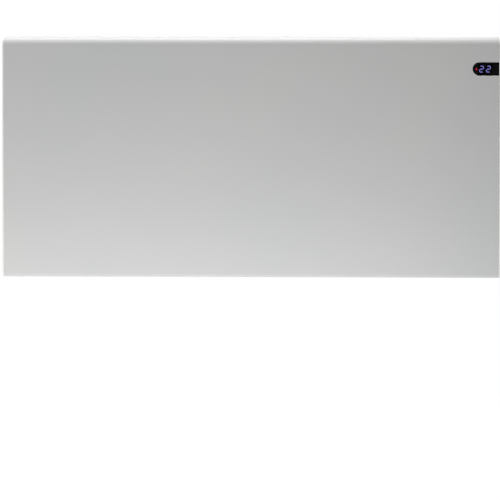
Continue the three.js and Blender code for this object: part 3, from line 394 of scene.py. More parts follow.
def window_plastic():
    """Smoked gloss window, dark enough to hide the board and clear enough for lit digits."""
    r = Recipe("window_plastic")
    haze = r.noise(60, 3)
    across, up = r.axis("X"), r.axis("Z")
    left, right = (end * MM for end in CLEAR_ENDS)
    low, high = (height * MM for height in CLEAR_HEIGHTS)
    clear = (across > left) * (across < right) * (up > low) * (up < high)
    r.set(Base_Color=r.blend(haze, tone(6, 6, 8), tone(9, 9, 12)), Roughness=0.05 + 0.05 * haze,
          Alpha=1 - 0.5 * clear, Specular_IOR_Level=0.04)
    return r.material


def zinc_steel():
    """Zinc plated sheet: soft blotches and a faint grain along the rolling direction."""
    r = Recipe("zinc_steel")
    spangle = r.cells(190, "Color")
    patch = r.node("ShaderNodeSeparateColor", {}, {0: spangle}, out="Red")
    rolled = r.noise(260, 3, r.stretched(0.06, 1, 1))
    r.set(Base_Color=r.blend(patch, tone(166, 169, 173), tone(176, 179, 182)), Metallic=1.0,
          Roughness=0.34 + 0.05 * patch + 0.1 * rolled)
    return r.relief(rolled, 0.00002, 0.35).material


def aluminium():
    """Drawn aluminium fins with fine lines along the element."""
    r = Recipe("aluminium")
    drawn = r.noise(700, 3, r.stretched(0.02, 1, 1))
    r.set(Base_Color=r.blend(drawn, tone(186, 187, 188), tone(214, 214, 213)), Metallic=1.0,
          Roughness=0.3 + 0.22 * drawn)
    return r.relief(drawn, 0.00003, 0.5).material


def board_green():
    """Circuit board: solder mask over pale copper tracks."""
    r = Recipe("board_green")
    level = r.waves(130, "X", distortion=2.0)
    cross = r.waves(110, "Z", distortion=3.0)
    track = r.node("ShaderNodeMath", {"operation": "MAXIMUM"}, {0: level > 0.8, 1: cross > 0.84})
    speckle = r.noise(900, 2)
    r.set(Base_Color=r.blend(track, tone(18, 84, 52), tone(40, 120, 72)), Roughness=0.32 + 0.12 * speckle,
          Coat_Weight=0.3)
    return r.relief(track, 0.00005, 0.6).material


def moulded(name, dark, light, roughness, scale=1800):
    """A moulded plastic in its own colour, with the mould's spark grain."""
    r = Recipe(name)
    grain = r.cells(scale)
    cloud = r.noise(22, 3)
    r.set(Base_Color=r.blend(cloud, tone(*dark), tone(*light)), Roughness=roughness + 0.14 * grain)
    return r.relief(grain, 0.00004, 0.5).material


def ceramic():
    """Unglazed steatite: chalky, with a few fine specks."""
    r = Recipe("ceramic")
    pores = r.noise(1400, 3)
    speck = r.fade(r.cells(420), 0.05, 0.0)
    body = r.blend(pores, tone(226, 221, 208), tone(238, 235, 225))
    r.set(Base_Color=r.blend(speck * 0.5, body, tone(178, 168, 150)), Roughness=0.72 + 0.15 * pores)
    return r.relief(pores, 0.00006, 0.5).material


def sleeve(name, base, stripe, share):
    """Braided sleeving on a lead; the share is how much of it the stripe colour takes."""
    r = Recipe(name)
    turned = r.node("ShaderNodeMapping", {}, {"Vector": r.place, "Rotation": (0.6, 0.5, 0.7)})
    one = r.waves(650, "X", turned)
    other = r.waves(650, "Z", turned)
    stripes = r.waves(120, "DIAGONAL", distortion=0.6) < share
    r.set(Base_Color=r.blend(stripes, tone(*base), tone(*stripe)), Roughness=0.6 + 0.15 * one)
    return r.relief(one * other, 0.0001, 0.6).material


def rubber():
    """Black rubber with a fine matt grain."""
    r = Recipe("rubber")
    grain = r.noise(1300, 3)
    r.set(Base_Color=r.blend(grain, tone(32, 32, 33), tone(46, 46, 47)), Roughness=0.7 + 0.15 * grain)
    return r.relief(grain, 0.00005, 0.5).material


def lamp_red():
    """The red lamp guide: the front of the upper lamp is lit, and the rest only glows faintly."""
    r = Recipe("lamp_red")
    frost = r.noise(1500, 2)
    upper = (r.axis("Z") > LAMP_SPLIT_Z * MM) * (r.axis("Y") < (LAMP_BASE + 0.1) * MM)
    r.set(Base_Color=r.blend(upper, tone(90, 16, 34), tone(190, 36, 70)), Roughness=0.3 + 0.1 * frost,
          Emission_Color=r.blend(upper, tone(40, 2, 10), tone(255, 44, 96)), Emission_Strength=2.2)
    return r.material


def digit_lit():
    """The lit segments of the display: a pale violet glow."""
    r = Recipe("digit_lit")
    frost = r.noise(900, 2)
    r.set(Base_Color=r.blend(frost, tone(120, 120, 190), tone(132, 130, 205)), Roughness=0.4 + 0.1 * frost,
          Emission_Color=r.blend(frost, tone(142, 138, 232), tone(152, 148, 242)), Emission_Strength=3.6)
    return r.material


def digit_dark():
    """The display's well and its unlit segments."""
    r = Recipe("digit_dark")
    frost = r.noise(900, 2)
    r.set(Base_Color=r.blend(frost, tone(9, 9, 12), tone(13, 13, 17)), Roughness=0.6 + 0.1 * frost,
          Specular_IOR_Level=0.15)
    return r.material


FINISHES = {
    "panel_paint": panel_paint(),
    "cap_plastic": cap_plastic(),
    "legend_ink": legend_ink(),
    "window_plastic": window_plastic(),
    "zinc_steel": zinc_steel(),
    "aluminium": aluminium(),
    "board_green": board_green(),
    "black_plastic": moulded("black_plastic", (24, 24, 25), (33, 33, 34), 0.46),
    "white_plastic": moulded("white_plastic", (222, 220, 212), (232, 230, 223), 0.42),
    "ceramic": ceramic(),
    "lead_sleeve": sleeve("lead_sleeve", (216, 213, 203), (198, 194, 182), 0.3),
    "earth_sleeve": sleeve("earth_sleeve", (66, 140, 52), (214, 196, 48), 0.42),
    "rubber": rubber(),
    "lamp_red": lamp_red(),
    "digit_lit": digit_lit(),
    "digit_dark": digit_dark(),
}


# ---- meshes --------------------------------------------------------------------------------------

def mesh_object(name, bm, finish, scale=MM):
    """Turns a bmesh drawn in millimetres into an object in metres at the origin."""
    bmesh.ops.scale(bm, vec=(scale,) * 3, verts=bm.verts)
    mesh = bpy.data.meshes.new(name)
    bm.to_mesh(mesh)
    bm.free()
    made = bpy.data.objects.new(name, mesh)
    bpy.context.scene.collection.objects.link(made)
    mesh.materials.append(FINISHES[finish])
    return made


def evaluated(made):
    """Replaces an object's mesh by the result of its modifiers and removes them."""
    graph = bpy.context.evaluated_depsgraph_get()
    result = bpy.data.meshes.new_from_object(made.evaluated_get(graph), depsgraph=graph)
    made.modifiers.clear()
    made.data = result
    return made


def modifier(made, kind, **settings):
    """Adds a modifier with its settings."""
    added = made.modifiers.new(kind.lower(), kind)
    for name, value in settings.items():
        setattr(added, name, value)
    return added


def carve(made, *cutters):
    """Cuts tools out of an object and throws the tools away."""
    for cutter in cutters:
        modifier(made, "BOOLEAN", operation="DIFFERENCE", object=cutter, solver="EXACT")
    evaluated(made)
    for cutter in cutters:
        bpy.data.objects.remove(cutter)
    return made


def smooth(made):
    """Shades a piece smooth and keeps its flat faces flat."""
    made.data.shade_smooth()
    made.data.set_sharp_from_angle(angle=math.radians(SHARP_ANGLE))
    modifier(made, "WEIGHTED_NORMAL", mode="FACE_AREA_WITH_ANGLE", weight=80, keep_sharp=True)
    return evaluated(made)


def round_edges(made, width, segments=2):
    """Rolls the edges over by a width in millimetres, then smooths the piece."""
    modifier(made, "BEVEL", width=width * MM, segments=segments, limit_method="ANGLE",
             angle_limit=math.radians(BEVEL_ANGLE), use_clamp_overlap=True, miter_outer="MITER_ARC")
    return smooth(evaluated(made))


def fit(made, body, slot, *nodes):
    """Puts a finished piece on its body, and hides the nodes it stands for."""
    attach(made, body)
    if nodes:
        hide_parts(*nodes)
    return made


def joined(name, parts):
    """One object from several, each part keeping its own materials."""
    bm = bmesh.new()
    materials = []
    for part in parts:
        start = len(bm.faces)
        bm.from_mesh(part.data)
        bm.faces.ensure_lookup_table()
        local = []
        for material in part.data.materials:
            if material not in materials:
                materials.append(material)
            local.append(materials.index(material))
        for face in bm.faces[start:]:
            face.material_index = local[face.material_index]
        bpy.data.objects.remove(part)
    mesh = bpy.data.meshes.new(name)
    bm.to_mesh(mesh)
    bm.free()
    for material in materials:
        mesh.materials.append(material)
    made = bpy.data.objects.new(name, mesh)
    bpy.context.scene.collection.objects.link(made)
    return made


def arc(u, v, radius, start, end, steps):
    """Points along an arc, by degrees."""
    turns = [math.radians(start + (end - start) * n / steps) for n in range(steps + 1)]
    return [(u + radius * math.cos(t), v + radius * math.sin(t)) for t in turns]


def slab_outline(inset=0.0, flat_rear=None):
    """The panel's end view in (y, z), drawn in by an inset."""
    foot = FOOT_ROUND - inset
    low = PANEL_LOW + inset + foot
    points = arc(FRONT + inset + foot, low, foot, 180, 270, 10)
    points += arc(REAR - inset - foot, low, foot, 270, 360, 10)
    points += arc(MIDDLE, PANEL_TOP - TOP_ROUND, TOP_ROUND - inset, 0, 180, 40)
    if flat_rear is not None:
        points = [(min(y, flat_rear) if z < FLANGE_TOP + 1 else y, z) for y, z in points]
    return points


def window_outline(grow, right):
    """The window's outline in (x, z): a round left end and a square right end."""
    radius = WINDOW_ROUND + grow
    points = arc(WINDOW_LEFT + WINDOW_ROUND, WINDOW_Z, radius, 90, 270, 40)
    return points + [(right, WINDOW_Z - radius), (right, WINDOW_Z + radius)]


def box_outline(half, low, high, corner, steps=8):
    """An upright round-cornered rectangle in (x, z)."""
    points = arc(half - corner, low + corner, corner, 270, 360, steps)
    points += arc(half - corner, high - corner, corner, 0, 90, steps)
    points += arc(-half + corner, high - corner, corner, 90, 180, steps)
    return points + arc(-half + corner, low + corner, corner, 180, 270, steps)


def loft(rings, closed_ends=True):
    """Skins rings of equal length, each a list of (x, y, z), and closes the first and last."""
    bm = bmesh.new()
    rows = [[bm.verts.new(point) for point in ring] for ring in rings]
    for lower, upper in zip(rows, rows[1:]):
        for n in range(len(lower)):
            m = (n + 1) % len(lower)
            bm.faces.new((lower[n], lower[m], upper[m], upper[n]))
    if closed_ends:
        bm.faces.new(reversed(rows[0]))
        bm.faces.new(rows[-1])
    bmesh.ops.recalc_face_normals(bm, faces=bm.faces)
    return bm


def along_x(outline, x):
    """An outline in (y, z), set at one x."""
    return [(x, y, z) for y, z in outline]


def along_y(outline, y):
    """An outline in (x, z), set at one y."""
    return [(x, y, z) for x, z in outline]


def lathe(name, axis, centre, profile, finish, sides=48):
    """A turned piece; the profile holds (radius, distance) pairs along the x or y axis."""
    rings = []
    for radius, distance in profile:
        ring = arc(centre[0], centre[1], max(radius, 0.01), 0, 360 - 360 / sides, sides - 1)
        rings.append(along_x(ring, distance) if axis == "x" else along_y(ring, distance))
    return mesh_object(name, loft(rings), finish)


def block(name, low, high, finish):
    """A plain box between two corners."""
    bm = bmesh.new()
    bmesh.ops.create_cube(bm, size=1)
    size = Vector(high) - Vector(low)
    bmesh.ops.scale(bm, vec=size, verts=bm.verts)
    bmesh.ops.translate(bm, vec=(Vector(low) + Vector(high)) / 2, verts=bm.verts)
    return mesh_object(name, bm, finish)


def soften(node, body, finish, width):
    """A copy of a solid with its edges rolled over, which stands for it."""
    bm = bmesh.new()
    bm.from_mesh(frame["nodes"][node].data)
    bmesh.ops.remove_doubles(bm, verts=bm.verts, dist=SOLID_WELD * MM)
    bmesh.ops.dissolve_limit(bm, angle_limit=math.radians(FLAT_ANGLE), verts=bm.verts, edges=bm.edges)
    made = mesh_object(f"{node}_fine", bm, finish, scale=1.0)
    return fit(round_edges(made, width), body, finish, node)


# ---- casing --------------------------------------------------------------------------------------

def front_cover():
    """The folded front sheet: outer skin with its notch, then its thickness and its cut edges."""
    top = PANEL_TOP - TOP_ROUND
    section = [(REAR, top - TOP_RETURN)] + arc(MIDDLE, top, TOP_ROUND, 0, 180, 40)
    split = len(section) - 1
    foot = PANEL_LOW + FOOT_ROUND
    section += arc(FRONT + FOOT_ROUND, foot, FOOT_ROUND, 180, 270, 12)
    section += arc(REAR - FOOT_ROUND, foot, FOOT_ROUND, 270, 360, 12)
    section.append((REAR, PANEL_LOW + FOOT_RETURN))
    bm = bmesh.new()
    lefts = [bm.verts.new((-COVER_END, y, z)) for y, z in section]
    rights = [bm.verts.new((COVER_END, y, z)) for y, z in section]
    for n in range(len(section) - 1):
        if n != split:
            bm.faces.new((lefts[n], rights[n], rights[n + 1], lefts[n + 1]))
    rolls = []
    for n in range(4):
        turn = math.radians(30 * n)
        outline = window_outline(NOTCH_ROUND * (1 - math.sin(turn)), COVER_END)
        rolls.append([bm.verts.new((x, FRONT + NOTCH_ROUND * (1 - math.cos(turn)), z)) for x, z in outline])
    for outer, inner in zip(rolls, rolls[1:]):
        for n in range(-1, len(outer) - 2):
            bm.faces.new((outer[n], outer[n + 1], inner[n + 1], inner[n]))
    rim = rolls[0][-1:] + rolls[0][:-1]
    bm.faces.new([lefts[split], rights[split], *rim, rights[split + 1], lefts[split + 1]])
    bmesh.ops.recalc_face_normals(bm, faces=bm.faces)
    made = mesh_object("front_cover_sheet", bm, "panel_paint")
    if made.data.polygons[-1].normal.y > 0:
        made.data.flip_normals()
    modifier(made, "SOLIDIFY", thickness=SHEET * MM, offset=-1, use_even_offset=True)
    evaluated(made)
    return fit(round_edges(made, COVER_ROLL), "panel", "panel_paint", "front_cover")


def cap_plate(name, side):
    """A cap's outer plate: a stadium with its rim rolled over towards the side."""
    inner = CAP_INNER - CAP_LIP
    rings = [along_x(slab_outline(CAP_EDGE), side * inner),
             along_x(slab_outline(), side * (inner + CAP_EDGE))]
    for n in range(7):
        turn = math.radians(15 * n)
        rings.append(along_x(slab_outline(CAP_ROUND * (1 - math.cos(turn))),
                             side * (PANEL_END - CAP_ROUND + CAP_ROUND * math.sin(turn))))
    return mesh_object(name, loft(rings), "cap_plastic")


def cap_spigot(side):
    """The thin wall that slides into the sheet's end."""
    mouth, root = side * SPIGOT_END, side * (CAP_INNER + LAP)
    outer = slab_outline(SHEET + FIT, SPIGOT_REAR)
    inner = slab_outline(SHEET + FIT + SPIGOT_WALL, SPIGOT_REAR - SPIGOT_WALL)
    rings = [along_x(outer, root), along_x(outer, mouth), along_x(inner, mouth), along_x(inner, root)]
    return mesh_object("spigot", loft(rings + rings[:1], closed_ends=False), "cap_plastic")


def cap_bosses(side):
    """The blocks in a cap that its two screws hold."""
    for z in BOSS_ZS:
        ends = sorted((side * (SCREW_X - BOSS_SIZE / 2), side * (CAP_INNER + LAP)))
        made = block("boss", (ends[0], SPIGOT_REAR - BOSS_DEPTH, z - BOSS_SIZE / 2),
                     (ends[1], SPIGOT_REAR, z + BOSS_SIZE / 2), "cap_plastic")
        profile = [(BOSS_BORE, SPIGOT_REAR + OVERCUT), (BOSS_BORE, SPIGOT_REAR - BOSS_BORE_DEPTH)]
        yield carve(made, lathe("bore", "y", (side * SCREW_X, z), profile, "cap_plastic", 20))


def end_cap(word, side):
    """A cap with its spigot and bosses; the right one also has the buttons' holes and collars."""
    plate = cap_plate(f"end_cap_{word}_plate", side)
    parts = [cap_spigot(side), *cap_bosses(side)]
    if side > 0:
        hole = [(BUTTON_HOLE, CAP_INNER - OVERCUT), (BUTTON_HOLE, PANEL_END + OVERCUT)]
        drills = [lathe("hole", "x", (MIDDLE, z), hole, "cap_plastic", 64) for z in BUTTON_ZS.values()]
        carve(plate, *drills)
        low, high = CAP_INNER - COLLAR_LENGTH, CAP_INNER + LAP
        collar = [(COLLAR_OUTER, low), (COLLAR_OUTER, high), (COLLAR_INNER, high), (COLLAR_INNER, low),
                  (COLLAR_OUTER, low)]
        parts += [lathe("collar", "x", (MIDDLE, z), collar, "cap_plastic") for z in BUTTON_ZS.values()]
    parts.append(round_edges(plate, CAP_ROLL, 3))
    made = joined(f"end_cap_{word}_fine", parts)
    return fit(smooth(made), "panel", "cap_plastic", f"end_cap_{word}")


def press_ring(grow, y):
    """One ring of the pressed box, larger or smaller than its wall by a given amount."""
    return along_y(box_outline(BOX_HALF + grow, BOX_LOW - grow, BOX_TOP + grow, BOX_CORNER + grow), y)


def rear_pan():
    """The pressed convection box with its flange, rolled corners, air slots and gland hole."""
    rim = box_outline(FLANGE_END, FLANGE_LOW, FLANGE_TOP, FLANGE_CORNER)
    rings = [along_y(rim, FLANGE_REAR)]
    for n in range(7):
        turn = math.radians(15 * n)
        rings.append(press_ring(FLANGE_ROUND * (1 - math.sin(turn)),
                                FLANGE_REAR + FLANGE_ROUND * (1 - math.cos(turn))))
    for n in range(9):
        turn = math.radians(11.25 * n)
        rings.append(press_ring(-PRESS_ROUND * (1 - math.cos(turn)),
                                BOX_REAR - PRESS_ROUND + PRESS_ROUND * math.sin(turn)))
    bm = loft(rings, closed_ends=False)
    bm.verts.ensure_lookup_table()
    size = len(rim)
    bm.faces.new(bm.verts[-size:])
    bmesh.ops.recalc_face_normals(bm, faces=bm.faces)
    bm.faces.ensure_lookup_table()
    if bm.faces[-1].normal.y < 0:
        bmesh.ops.reverse_faces(bm, faces=bm.faces)
    made = mesh_object("rear_pan_sheet", bm, "panel_paint")
    modifier(made, "SOLIDIFY", thickness=SHEET * MM, offset=-1, use_even_offset=True)
    evaluated(made)
    cutters = [slot_cutter(z) for z in (BOX_LOW, BOX_TOP)]
    hole = [(GLAND_HOLE, y) for y in GLAND_CUT]
    cutters.append(lathe("gland_hole", "y", (GLAND_X, GLAND_Z), hole, "panel_paint", 40))
    carve(made, *cutters)
    return fit(round_edges(made, PAN_ROLL), "panel", "panel_paint", "rear_pan")


def slot_places(z):
    """The middles of the air slots in one face of the box."""
    for row in (-0.5, 0.5):
        for column in range(SLOT_COLUMNS):
            yield (column - (SLOT_COLUMNS - 1) / 2) * SLOT_PITCH, SLOT_MIDDLE + row * SLOT_ROW_PITCH, z


def slot_outline(grow):
    """An air slot's outline about its own centre."""
    half, wide = SLOT_LENGTH / 2 + grow, SLOT_WIDTH / 2 + grow
    return box_outline(half, -wide, wide, max(SLOT_CORNER + grow, 0.3), 4)


def slot_cutter(z):
    """A tool that cuts all air slots of one face of the box."""
    bm = bmesh.new()
    for x, y, level in slot_places(z):
        rings = [[(x + u, y + v, level + rise) for u, v in slot_outline(0)]
                 for rise in (-SLOT_CUT, SLOT_CUT)]
        part = loft(rings)
        mesh = bpy.data.meshes.new("cutter")
        part.to_mesh(mesh)
        part.free()
        bm.from_mesh(mesh)
        bpy.data.meshes.remove(mesh)
    return mesh_object("slot_cutter", bm, "panel_paint")


# ---- repeats, by geometry nodes ------------------------------------------------------------------

def scatter_tree():
    """A tree that sets one shape on every point of a mesh, turned by an angle, in one finish."""
    tree = bpy.data.node_groups.new("scatter", "GeometryNodeTree")
    inputs = {"Points": "Geometry", "Shape": "Object", "Turn": "Vector", "Size": "Float",
              "Finish": "Material"}
    for name, kind in inputs.items():
        tree.interface.new_socket(name, in_out="INPUT", socket_type=f"NodeSocket{kind}")
    tree.interface.new_socket("Result", in_out="OUTPUT", socket_type="NodeSocketGeometry")
    add = tree.nodes.new
    source, result = add("NodeGroupInput"), add("NodeGroupOutput")
    shape, spread = add("GeometryNodeObjectInfo"), add("GeometryNodeInstanceOnPoints")
    real, finish = add("GeometryNodeRealizeInstances"), add("GeometryNodeSetMaterial")
    links = [(source.outputs["Shape"], shape.inputs["Object"]),
             (source.outputs["Points"], spread.inputs["Points"]),
             (shape.outputs["Geometry"], spread.inputs["Instance"]),
             (source.outputs["Turn"], spread.inputs["Rotation"]),
             (source.outputs["Size"], spread.inputs["Scale"]),
             (spread.outputs["Instances"], real.inputs["Geometry"]),
             (real.outputs["Geometry"], finish.inputs["Geometry"]),
             (source.outputs["Finish"], finish.inputs["Material"]),
             (finish.outputs["Geometry"], result.inputs["Result"])]
    for first, second in links:
        tree.links.new(first, second)
    return tree


SCATTER = scatter_tree()


def scattered(name, places, shape, turn, finish):
    """One mesh of a shape set on every place; places are in millimetres."""
    bm = bmesh.new()
    for place in places:
        bm.verts.new(place)
    made = mesh_object(name, bm, finish)
    added = made.modifiers.new("scatter", "NODES")
    added.node_group = SCATTER
    values = {"Shape": shape, "Turn": turn, "Size": 1.0, "Finish": FINISHES[finish]}
    for item in SCATTER.interface.items_tree:
        if item.in_out == "INPUT" and item.name in values:
            added[item.identifier] = values[item.name]
    evaluated(made)
    if not made.data.materials:
        made.data.materials.append(FINISHES[finish])
    return made


def slot_rim_shape():
    """The rolled edge of one air slot: a closed collar that stands a little above the sheet."""
    rings = [[(u, v, height) for u, v in slot_outline(grow)] for grow, height in SLOT_RIM]
    bm = loft(rings + rings[:1], closed_ends=False)
    bmesh.ops.remove_doubles(bm, verts=bm.verts, dist=WELD)
    bmesh.ops.recalc_face_normals(bm, faces=bm.faces)
    made = mesh_object("slot_rim", bm, "panel_paint")
    made.data.shade_smooth()
    return made


def slot_rims():
    """The rolled edges of all air slots, in two pieces."""
    shape = slot_rim_shape()
    upper = scattered("slot_rims_upper", slot_places(BOX_TOP), shape, (0, 0, 0), "panel_paint")
    lower = scattered("slot_rims_lower", slot_places(BOX_LOW), shape, (math.pi, 0, 0), "panel_paint")
    bpy.data.objects.remove(shape)
    for made in (upper, lower):
        fit(made, "panel", "panel_paint")


def screw_shape():
    """A pan head screw with a cross recess, its seat at the origin and its head towards +y."""
    swell = SCREW_HEAD_HEIGHT - SCREW_HEAD_RIM
    dome = [(SCREW_HEAD * math.cos(math.radians(a)), SCREW_HEAD_RIM + swell * math.sin(math.radians(a)))
            for a in range(0, 90, 15)]
    thread = []
    for n in range(THREAD_TURNS):
        y = THREAD_START - SCREW_LENGTH + n * THREAD_PITCH
        thread += [(SCREW_RADIUS * THREAD_CORE, y), (SCREW_RADIUS, y + THREAD_PITCH / 2)]
    profile = [(SCREW_AXIS, -SCREW_LENGTH), *thread, (SCREW_RADIUS, 0.0), (SCREW_HEAD, 0.0), *dome,
               (SCREW_AXIS, SCREW_HEAD_HEIGHT)]
    made = lathe("screw", "y", (0, 0), profile, "zinc_steel", 28)
    low, high = RECESS_HEIGHTS
    arms = [block("arm", (-long, low, -wide), (long, high, wide), "zinc_steel")
            for long, wide in ((RECESS_LONG, RECESS_WIDE), (RECESS_WIDE, RECESS_LONG))]
    carve(made, *arms)
    return smooth(made)


def screws():
    """All six casing screws in one piece."""
    shape = screw_shape()
    made = scattered("casing_screws", SCREWS, shape, (0, 0, 0), "zinc_steel")
    bpy.data.objects.remove(shape)
    nodes = [f"screw_cap_{side}_{level}" for side in ("left", "right") for level in ("lower", "upper")]
    return fit(smooth(made), "panel", "zinc_steel", *nodes, "screw_cover_lower", "screw_cover_upper")


# ---- window, display and buttons -----------------------------------------------------------------

def display_window():
    """The smoked window: a raised face with a rolled edge, and a flange behind the sheet."""
    flange = window_outline(LENS_FLANGE, COVER_END)
    rings = [along_y(flange, LENS_REAR), along_y(flange, LENS_STEP),
             along_y(window_outline(-LENS_GAP, COVER_END), LENS_STEP)]
    for n in range(5):
        turn = math.radians(22.5 * n)
        rings.append(along_y(window_outline(-LENS_GAP - LENS_EDGE * (1 - math.cos(turn)), COVER_END),
                             LENS_FRONT + LENS_EDGE * (1 - math.sin(turn))))
    made = mesh_object("display_window_lens", loft(rings), "window_plastic")
    return fit(smooth(made), "panel", "window_plastic", "display_window")


def segment(name, points, finish):
    """A thin raised bar of the display, from its outline in (x, z)."""
    rings = [along_y(points, DISPLAY_FACE - SEGMENT_PROUD), along_y(points, DISPLAY_FACE + SEGMENT_SUNK)]
    return mesh_object(name, loft(rings), finish)


def digit(left, lit):
    """Seven slanted segments; the names in lit shine."""
    w, h, s, g = DIGIT_WIDTH - DIGIT_HEIGHT * DIGIT_SLANT, DIGIT_HEIGHT, DIGIT_STROKE, DIGIT_GAP
    half = s / 2
    level = {"top": h - half, "middle": h / 2, "foot": half}
    for name in ("top", "middle", "foot", "upper_left", "upper_right", "lower_left", "lower_right"):
        if name in level:
            v = level[name]
            a, b = half + g, w - half - g
            points = [(a, v), (a + half, v + half), (b - half, v + half), (b, v), (b - half, v - half),
                      (a + half, v - half)]
        else:
            u = half if "left" in name else w - half
            a, b = (h / 2 + g, h - half - g) if "upper" in name else (half + g, h / 2 - g)
            points = [(u, a), (u + half, a + half), (u + half, b - half), (u, b), (u - half, b - half),
                      (u - half, a + half)]
        placed = [(left + u + v * DIGIT_SLANT, WINDOW_Z - h / 2 + v) for u, v in points]
        yield segment("segment", placed, "digit_lit" if name in lit else "digit_dark")


def display_rectangle(inset):
    """The housing's outline in (x, z), drawn in by an inset."""
    left, right = DISPLAY_LEFT + inset, DISPLAY_RIGHT - inset
    low, high = WINDOW_Z - DISPLAY_HALF + inset, WINDOW_Z + DISPLAY_HALF - inset
    return [(left, low), (right, low), (right, high), (left, high)]


def display_module():
    """The digits' housing: a shallow dark well behind the window."""
    outer, inner = display_rectangle(0), display_rectangle(DISPLAY_RIM)
    rings = [along_y(outer, DISPLAY_REAR), along_y(outer, DISPLAY_FRONT), along_y(inner, DISPLAY_FRONT),
             along_y(inner, DISPLAY_FACE)]
    made = mesh_object("display_module_fine", loft(rings), "digit_dark")
    return fit(round_edges(made, DISPLAY_ROLL), "panel", slot_of("display_module"), "display_module")


def lamp_dome(x, rise, wide, high):
    """One indicator's domed end, an oval that swells towards the room."""
    z = WINDOW_Z + rise
    rings = []
    for turn in (0, 30, 60, 80):
        grow, lift = math.cos(math.radians(turn)), LAMP_LIFT * math.sin(math.radians(turn))
        ring = [(x + wide * grow * u, z + high * grow * v) for u, v in arc(0, 0, 1, 0, 345, 23)]
        rings.append(along_y(ring, LAMP_BASE - lift))
    rings.insert(0, along_y([(u, v) for u, _, v in rings[0]], LAMP_BACK))
    return mesh_object("lamp", loft(rings), "lamp_red")


def indicator_lamps():
    """Both indicators and the web that joins them behind."""
    left, right = LAMP_WEB_ENDS
    low, high = (WINDOW_Z + rise for rise in LAMP_WEB_RISES)
    web = block("lamp_web", (left, LAMP_BACK - LAMP_WEB_DEPTH, low), (right, LAMP_BACK, high), "lamp_red")
    made = joined("lamp_guide_fine", [lamp_dome(*UPPER_LAMP), lamp_dome(*LOWER_LAMP), web])
    return fit(smooth(made), "panel", "lamp_red", "lamp_guide")


def display_digits():
    """Two digits that both show a 2."""
    lit = ("top", "upper_right", "middle", "lower_left", "foot")
    parts = [part for left in DIGIT_LEFTS for part in digit(left, lit)]
    made = joined("display_digits", parts)
    return fit(made, "panel", "window_plastic")


def stroke(points, width):
    """A flat line of a legend, drawn in (y, z) on the buttons' outer plane."""
    bm = bmesh.new()
    sides = []
    for n, (u, v) in enumerate(points):
        before, after = Vector(points[max(n - 1, 0)]), Vector(points[min(n + 1, len(points) - 1)])
        if points[0] == points[-1] and n in (0, len(points) - 1):
            before, after = Vector(points[-2]), Vector(points[1])
        across = (after - before).normalized().orthogonal() * width / 2
        sides.append([(u + across.x, v + across.y), (u - across.x, v - across.y)])
    verts = [[[bm.verts.new((x, u, v)) for u, v in pair] for x in (BUTTON_FACE - LAP, LEGEND_FRONT)]
             for pair in sides]
    for a, b in zip(verts, verts[1:]):
        loop_a = (a[0][0], a[0][1], a[1][1], a[1][0])
        loop_b = (b[0][0], b[0][1], b[1][1], b[1][0])
        for n in range(4):
            m = (n + 1) % 4
            bm.faces.new((loop_a[n], loop_a[m], loop_b[m], loop_b[n]))
    for end in (verts[0], verts[-1]):
        bm.faces.new((end[0][0], end[0][1], end[1][1], end[1][0]))
    bmesh.ops.recalc_face_normals(bm, faces=bm.faces)
    return mesh_object("legend_stroke", bm, "legend_ink")


def legend_lines(word, z):
    """The strokes of each button's mark."""
    if word == "ok":
        ring = [(MIDDLE + RING_PLACE + RING_HALF * math.cos(math.radians(a)),
                 z + LETTER_HALF * math.sin(math.radians(a))) for a in range(0, 361, 15)]
        ring[-1] = ring[0]
        left = MIDDLE + STEM_PLACE
        arms = [[(left + u, z + v) for u, v in arm] for arm in STEM_ARMS]
        return [ring, [(left, z - LETTER_HALF), (left, z + LETTER_HALF)], *arms]
    level = [(MIDDLE - SIGN_HALF, z), (MIDDLE + SIGN_HALF, z)]
    upright = [(MIDDLE, z - SIGN_HALF), (MIDDLE, z + SIGN_HALF)]
    return [level, upright] if word == "plus" else [level]


def button(word, z):
    """A push button: its face, flange and stem turned in one, and its mark."""
    edge = [(BUTTON_RADIUS - BUTTON_EDGE * (1 - math.cos(math.radians(a))),
             BUTTON_FACE - BUTTON_EDGE + BUTTON_EDGE * math.sin(math.radians(a))) for a in range(0, 91, 15)]
    profile = [(BUTTON_AXIS, BUTTON_STEM_END), (BUTTON_STEM, BUTTON_STEM_END),
               (BUTTON_STEM, BUTTON_FLANGE_IN), (BUTTON_FLANGE, BUTTON_FLANGE_IN),
               (BUTTON_FLANGE, BUTTON_FLANGE_OUT), (BUTTON_RADIUS, BUTTON_FLANGE_OUT), *edge]
    key = smooth(lathe(f"button_{word}_key", "x", (MIDDLE, z), profile, "cap_plastic", 72))
    strokes = [stroke(points, LEGEND_STROKE) for points in legend_lines(word, z)]
    body = f"button_{word}"
    fit(key, body, "cap_plastic", body)
    fit(joined(f"legend_{word}", strokes), body, "black_plastic")


# ---- bracket and the back ------------------------------------------------------------------------

def wall_spacer(word, x):
    """A rubber foot with a lip over the pan and a domed end towards the wall."""
    made = lathe(f"wall_spacer_{word}_fine", "y", (x, SPACER_Z), SPACER_PROFILE, "rubber", 56)
    return fit(smooth(made), "panel", "rubber", f"wall_spacer_{word}")


def cable_gland():
    """The gland's collar: a ribbed nut with a domed end and a bore for the supply."""
    rings = []
    for radius, y in GLAND_PROFILE:
        ribbed = GLAND_RIBBED[0] <= y <= GLAND_RIBBED[1]
        ring = []
        for n in range(GLAND_SIDES):
            turn = 2 * math.pi * n / GLAND_SIDES
            r = radius - (GLAND_RIB if ribbed and n % 4 in (0, 1) else 0.0)
            ring.append((GLAND_X + r * math.cos(turn), y, GLAND_Z + r * math.sin(turn)))
        rings.append(ring)
    bm = loft(rings + rings[:1], closed_ends=False)
    bmesh.ops.remove_doubles(bm, verts=bm.verts, dist=WELD)
    bmesh.ops.recalc_face_normals(bm, faces=bm.faces)
    made = mesh_object("cable_gland_fine", bm, "black_plastic")
    return fit(smooth(made), "panel", "black_plastic", "cable_gland")


